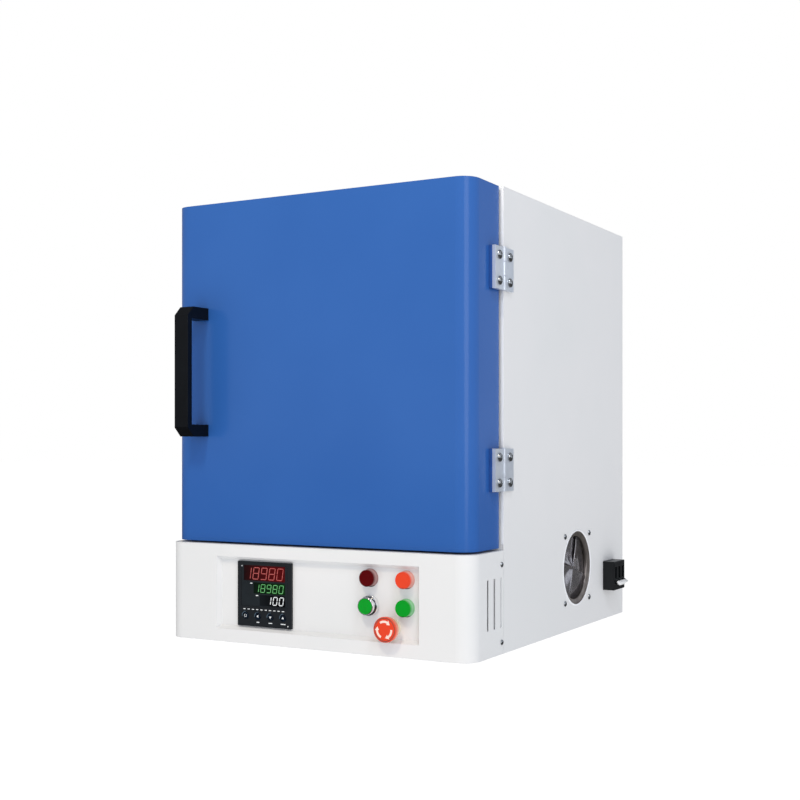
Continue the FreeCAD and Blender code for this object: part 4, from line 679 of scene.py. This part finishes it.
def make_controls():
    """The three lamp lenses, the start button in its ring, and the emergency stop."""
    for name in ("heating", "power", "running"):
        x, front, _, z = spot_of(name + "_lens")
        reach = PANEL_FACE - front
        bm = turned([(0, 0), (12.9, 0), (12.9, 1.5), (11.9, 1.5), (11.9, reach * 0.45),
                     (11.7, reach * 0.45 + 0.35), (11.7, reach), (10.2, reach),
                     (9.8, reach - 0.3), (0, reach - 0.15)], 64)
        soften(bm, 0.6)
        bm = copies(bm, TO_FRONT, [(x, PANEL_FACE, z)])
        add_piece(name + "_lamp_lens", tidy_mesh(bm, name), "cabinet", "lens_" + name,
                  "lens_" + name, name + "_lens")

    x, front, _, z = spot_of("start_button_bezel")
    reach = PANEL_FACE - front
    ring = turned([(12.65, 0), (14.5, 0), (14.5, reach - 1.4), (13.9, reach), (13.2, reach),
                   (12.65, reach - 0.8), (12.65, 0)], 64)
    soften(ring, 0.25, 2)
    spot = [(x, PANEL_FACE, z)]
    add_piece("start_button_ring", tidy_mesh(copies(ring, TO_FRONT, spot), "ring"), "cabinet",
              "bezel_chrome", "bezel_chrome", "start_button_bezel")
    x, front, rear, z = spot_of("start_button_cap")
    reach, stem = PANEL_FACE - front, PANEL_FACE - rear
    foot = reach - 11.5
    cap = turned([(0, stem), (4, stem), (4, foot), (10.9, foot), (10.9, reach), (9.6, reach),
                  (9.2, reach - 0.3), (0, reach - 0.2)], 64)
    sleeve = turned([(10.95, foot), (12.3, foot), (12.3, reach - 1.1), (11.9, reach - 0.7),
                     (10.95, reach - 0.7), (10.95, foot)], 64)
    soften(cap, 0.5)
    soften(sleeve, 0.15, 2)
    add_piece("start_button_top", tidy_mesh(copies(cap, TO_FRONT, spot), "cap"), "start_button",
              "button_green", "button_green", "start_button_cap")
    add_piece("start_button_sleeve", tidy_mesh(copies(sleeve, TO_FRONT, spot), "sleeve"),
              "start_button", "bezel_chrome", "bezel_chrome", "start_button_cap")

    x, front, rear, z = spot_of("stop_head")
    reach, back = PANEL_FACE - front, PANEL_FACE - rear
    head = turned([(0, back), (11, back), (16.4, reach - 11.5), (17.2, reach - 10.6),
                   (17.9, reach - 2.4), (17.5, reach - 0.9), (16.7, reach - 0.5),
                   (16.3, reach - 2.2), (15.5, reach - 2.2), (15.0, reach - 0.5), (8, reach),
                   (0, reach)], 72)
    soften(head, 0.4, 3, 24)
    add_piece("stop_mushroom", tidy_mesh(copies(head, TO_FRONT, [(x, PANEL_FACE, z)]), "mushroom"),
              "stop_head", "stop_red", "stop_red", "stop_head")
    arrows = [arrow((x, z), 9.8, 12.9, first, first - 60, 1.9, 26) for first in (124, 4, -116)]
    bm = flat_shapes(arrows, front - 0.1, 0.5)
    add_piece("stop_arrows", tidy_mesh(bm, "arrows"), "stop_head", "print_peach", "stop_red")
    # Painted shade in the groove round the head's face.
    line = [arc((x, z), 15.0, 16.7, half, half + 180, 40) for half in (0, 180)]
    add_piece("stop_groove_painted_shade", tidy_mesh(flat_shapes(line, front + 1.2, 1.1), "line"),
              "stop_head", "groove_painted_shade", "stop_red")


# Breaker toggle: black arms in the slots, and a white grip of two layers across them

def prism(outline, middle, thick):
    """A solid about a depth, from an outline of (x, z) points in millimetres."""
    return flat_shapes([outline], middle - thick / 2, thick)


def make_breaker_toggle():
    """Three black arms on a hub, and the white grip that links them."""
    low, high = box_of("breaker_lever")
    middle, pivot_x, pivot_z = (low.y + high.y) / 2, low.x + 5, high.z - 5
    lean = math.radians(34)
    length, half, thick, pole_pitch, span = 20, 3.2, 8, 17, 42

    def at(along, aside):
        return (pivot_x + along * math.cos(lean) + aside * math.sin(lean),
                pivot_z + aside * math.cos(lean) - along * math.sin(lean))
    arms = [prism([at(0, -half), at(length, -half), at(length, half), at(0, half)],
                  middle + pole, thick) for pole in (-pole_pitch, 0, pole_pitch)]
    arms.append(prism(circle((pivot_x, pivot_z), 4.95, 40), middle, span))
    grip = [prism([at(19.4, 0.2), at(25.3, 0.2), at(25.3, 3.45), at(19.4, 3.45)], middle, span),
            prism([at(19.4, -3.45), at(24.9, -3.45), at(24.9, 0.2), at(19.4, 0.2)], middle,
                  span - 16)]
    for name, finish, shapes, width in (("breaker_toggle_arms", "breaker_plastic", arms, 0.3),
                                        ("breaker_toggle_grip", "lever_plastic", grip, 0.8)):
        whole = bmesh.new()
        for bm in shapes:
            bmesh.ops.recalc_face_normals(bm, faces=bm.faces)
            soften(bm, width)
            add_to(whole, bm)
        add_piece(name, tidy_mesh(whole, name), "breaker_lever", finish, "lever_plastic",
                  "breaker_lever")


# Domed screws with hexagon sockets

def screw_model(head, dome, shank, through):
    """A domed screw about z, its seat at z = 0, with a hexagon socket in its crown."""
    socket = head * 0.42
    angles = [math.radians(step) for step in range(0, 70, 7)]
    crown = [(head * math.cos(a), dome * (0.22 + 0.78 * math.sin(a))) for a in angles]
    crown = [spot for spot in crown if spot[0] > socket + 0.25]
    lip = dome * (0.22 + 0.78 * math.sin(math.acos((socket + 0.12) / head)))
    bm = turned([(0, -through), (shank, -through), (shank, 0), (head - 0.15, 0), (head, 0.15)]
                + crown + [(socket + 0.12, lip), (socket, lip - 0.15), (socket, lip - dome * 0.5),
                           (0, lip - dome * 0.62)], 36)
    for vert in bm.verts:
        reach = math.hypot(vert.co.x, vert.co.y) / MM
        if vert.co.z > 0 and 0.1 < reach < socket + 0.2:
            turn = math.atan2(vert.co.y, vert.co.x) % math.radians(60) - math.radians(30)
            flat = 0.93 / math.cos(turn)
            vert.co.x *= flat
            vert.co.y *= flat
    return bm


def make_screws():
    """Each set of screws, in the place of the CAD's plain ones."""
    leaf_face, case_leaf_y, door_leaf_y = CASE_RIGHT + 5, -180.8, -215.8
    hinge_z = [middle + step for middle in (265, 547) for step in (-18, 18)]
    fan_y, fan_z = [(middle - 52.5, middle + 52.5) for middle in FAN_AXIS]
    rear_x, rear_z = (CASE_LEFT + 9, CASE_RIGHT - 9), (46, 335.25, 624.5)
    fascia_y, fascia_z = -198, (23, 132)
    small = (3.9, 2.4, 2, 7)
    groups = (
        ("hinge_case_screws", "cabinet", (6.5, 4.0, 2.5, 11.5), TO_RIGHT,
         [(leaf_face, case_leaf_y, z) for z in hinge_z]),
        ("hinge_door_screws", "door", (6.5, 4.0, 2.5, 16.5), TO_RIGHT,
         [(leaf_face, door_leaf_y, z) for z in hinge_z]),
        ("fan_screws", "cabinet", (4.5, 2.6, 2, 5.5), TO_RIGHT,
         [(CASE_RIGHT, y, z) for y in fan_y for z in fan_z]),
        ("rear_screws", "cabinet", small, TO_REAR,
         [(x, REAR_FACE, z) for x in rear_x for z in rear_z]),
    )
    for node, body, sizes, turn, spots in groups:
        bm = copies(screw_model(*sizes), turn, spots)
        add_piece(node + "_detailed", tidy_mesh(bm, node), body, "screw_steel", "screw_steel", node)
    right, left = [copies(screw_model(*small), turn, [(side, fascia_y, z) for z in fascia_z])
                   for turn, side in ((TO_RIGHT, CASE_RIGHT), (TO_LEFT, CASE_LEFT))]
    add_to(right, left)
    add_piece("fascia_screws_detailed", tidy_mesh(right, "fascia_screws"), "cabinet", "screw_steel",
              "screw_steel", "fascia_screws")


# Chamber: wound coils and the door's rope seal

def route_through(points):
    """A route along short straight steps between points: a function of length, and its length."""
    lengths = [0.0]
    for first, second in zip(points, points[1:]):
        lengths.append(lengths[-1] + (Vector(second) - Vector(first)).length)

    def at(along):
        number = max(index for index, reached in enumerate(lengths[:-1]) if reached <= along + 1e-9)
        span = lengths[number + 1] - lengths[number]
        return Vector(points[number]).lerp(Vector(points[number + 1]),
                                           (along - lengths[number]) / span)
    return at, lengths[-1]


def make_coils():
    """Two coils of wound wire, each bent to and fro along six grooves, with straight leads."""
    front, rear, lowest, bend, lead_end = -149.2, 76.8, 339.5, 14, 222.3
    levels = [lowest + 2 * bend * number for number in range(6)]
    wires, leads = [], []
    for side in (-105.7, 105.7):
        x = CASE_MIDDLE + side
        points = []
        for number, z in enumerate(levels):
            ends = (rear, front) if number % 2 == 0 else (front, rear)
            points += [(x, ends[0], z), (x, ends[1], z)]
            if number < 5:
                away = -1 if number % 2 == 0 else 1
                points += [(x, ends[1] + away * bend * math.sin(math.radians(a)),
                            z + bend - bend * math.cos(math.radians(a)))
                           for a in range(15, 180, 15)]
        wires.append(wind(route_through(points), (1, 0, 0), 4.4, 3.25))
        leads += [[(x, rear - 2, z), (x, lead_end, z)] for z in (levels[0], levels[-1])]
    bm = bmesh.new()
    for mesh in (tube("windings", wires, 0.75), tube("leads", leads, 2.4, sides=3)):
        bm.from_mesh(mesh)
        bpy.data.meshes.remove(mesh)
    add_piece("wound_heating_coils", tidy_mesh(bm, "coils", 80), "cabinet", "heating_wire",
              "heating_wire", "heating_coils")


def make_seal():
    """Three strands of rope twisted round the door's plug."""
    half, corner, y = 121.8, 11.8, -193.8
    points = []
    for turn, (sx, sz) in zip((0, 90, 180, 270), ((1, 1), (-1, 1), (-1, -1), (1, -1))):
        middle = (CASE_MIDDLE + sx * (half - corner), DOOR_MIDDLE + sz * (half - corner))
        for step in range(0, 91, 15):
            angle = math.radians(turn + step)
            points.append((middle[0] + corner * math.cos(angle), y,
                           middle[1] + corner * math.sin(angle)))
    points.append(points[0])
    route = route_through(points)
    strands = [wind(route, (0, 1, 0), 11, 1.0, phase)[:-1] for phase in (0, 1 / 3, 2 / 3)]
    add_piece("door_seal_rope", tube("rope", strands, 1.15, closed=True), "door", "seal_rope",
              "seal_rope", "door_seal")


# Fan

def make_fan_rotor():
    """A small hub and four broad twisted blades with raised edges that all but fill the circle."""
    low, high = box_of("fan_rotor")
    front = high.x - 0.4
    hub = turned([(3.05, low.x), (8, low.x), (8, front - 7.2), (4.2, front - 6), (4.2, front + 0.2),
                  (3.4, front + 0.4), (0, front + 0.4), (0, front - 0.6), (3.05, front - 0.6),
                  (3.05, low.x)], 48)
    soften(hub, 0.2, 2)
    whole = copies(hub, TO_RIGHT, [(0, *FAN_AXIS)])
    steps, rings, span, root, reach = 20, 12, 98, 3.6, 55.2
    # A blade starts at its leading edge, at an angle in degrees, and sinks under the next one.
    for edge in (74.5, 164.5, 250, 342):
        bm = bmesh.new()
        rows = []
        for step in range(steps + 1):
            share = (step / steps) ** 1.5
            lip = 0.7 * max(0, 1 - share / 0.05)
            turn = math.radians(edge - span * share)
            tip = reach - 4 * abs(2 * share - 1) ** 8
            row = []
            for ring in range(rings + 1):
                out = root + (tip - root) * ring / rings
                sink = (3.4 * share ** 1.2 * min(1, out / 18)
                        + 2.2 * math.sin(math.pi * share) ** 2 - lip)
                row.append(bm.verts.new(place_of(front - sink, FAN_AXIS[0] + out * math.cos(turn),
                                                 FAN_AXIS[1] + out * math.sin(turn))))
            rows.append(row)
        for one, two in zip(rows, rows[1:]):
            for number in range(rings):
                bm.faces.new((one[number], one[number + 1], two[number + 1], two[number]))
        bmesh.ops.recalc_face_normals(bm, faces=bm.faces)
        if sum(face.normal.x for face in bm.faces) > 0:
            bmesh.ops.reverse_faces(bm, faces=bm.faces)
        bmesh.ops.solidify(bm, geom=bm.faces[:], thickness=0.8 * MM)
        bmesh.ops.recalc_face_normals(bm, faces=bm.faces)
        soften(bm, 0.25, 2, 50)
        add_to(whole, bm)
    add_piece("fan_rotor_bladed", tidy_mesh(whole, "rotor"), "fan_rotor", "fan_blade_metal",
              "fan_blade_metal", "fan_rotor")


def make_fan_trim():
    """The fan's pressed inlet ring, and the rolled lip of the case's sheet round its opening, in
    the whiter coat that paints a highlight on it.
    """
    ring = turned([(57.95, -3.4), (57.95, -1.7), (57.2, -1.7), (51.2, -3.3), (50.4, -4.4),
                   (50.8, -4.6), (51.6, -3.9), (57.2, -2.6), (57.2, -3.4), (57.95, -3.4)], 96)
    soften(ring, 0.15, 2)
    spot = [(CASE_RIGHT, *FAN_AXIS)]
    add_piece("fan_inlet_ring", tidy_mesh(copies(ring, TO_RIGHT, spot), "ring"), "cabinet",
              "fan_casting", "fan_casting")
    lip = turned([(58.2, -0.4), (60.7, -0.4), (60.7, 0.4), (60.2, 0.8), (59.2, 0.8), (58.2, 0.2),
                  (58.2, -0.4)], 96)
    soften(lip, 0.2, 2)
    add_piece("fan_opening_lip_painted_highlight", tidy_mesh(copies(lip, TO_RIGHT, spot), "lip"), "cabinet",
              "painted_highlight_coat", "case_paint")


def make_case_hem():
    """The folded hem along the case sheet's front edge, up both sides and across the top, in the
    whiter coat that paints a highlight on it.
    """
    right, foot, width, thick = CASE_RIGHT - 0.2, 160, 5, 0.6
    outer = [(CASE_LEFT, foot), (CASE_LEFT, CASE_TOP), (right, CASE_TOP), (right, foot)]
    inner = [(right - width, foot), (right - width, CASE_TOP - width),
             (CASE_LEFT + width, CASE_TOP - width), (CASE_LEFT + width, foot)]
    bm = flat_shapes([outer + inner], case_low.y - 0.5, thick)
    bmesh.ops.recalc_face_normals(bm, faces=bm.faces)
    soften(bm, 0.2, 2)
    add_piece("case_front_hem_painted_highlight", tidy_mesh(bm, "hem"), "cabinet", "painted_highlight_coat", "case_paint")


def make_floor():
    """A plain light table: white to the eye, duller in the reflections of polished metal."""
    bm = bmesh.new()
    bmesh.ops.create_grid(bm, x_segments=8, y_segments=8, size=14)
    mesh = bpy.data.meshes.new("floor")
    bm.to_mesh(mesh)
    bm.free()
    floor = bpy.data.objects.new("floor", mesh)
    bpy.context.scene.collection.objects.link(floor)
    material, tree, shader, _ = new_material("white_light_table", Roughness=0.9,
                                             Specular_IOR_Level=0.0)
    shader.inputs["Base Color"].default_value = linear("#404040")
    shader.inputs["Emission Color"].default_value = linear("#FFFFFF")
    ray = add_node(tree, "ShaderNodeLightPath").outputs["Is Glossy Ray"]
    level = add_node(tree, "ShaderNodeMath", {0: ray, 1: -0.97, 2: 1.02}, operation="MULTIPLY_ADD")
    tree.links.new(level.outputs[0], shader.inputs["Emission Strength"])
    mesh.materials.append(material)


def dress_cad_nodes():
    """Give each CAD node the material of its slot in the record."""
    for part in frame["record"]["subparts"]:
        node = frame["nodes"][part["node"]]
        finish = MATERIALS[part["material_slot"]]
        if not node.material_slots:
            node.data.materials.append(finish)
        for slot in node.material_slots:
            slot.material = finish


make_camera()
make_studio()
MATERIALS = make_materials()
make_floor()
dress_cad_nodes()
make_display()
make_key_marks()
make_controls()
make_breaker_toggle()
make_screws()
make_coils()
make_seal()
make_fan_rotor()
make_fan_trim()
make_case_hem()
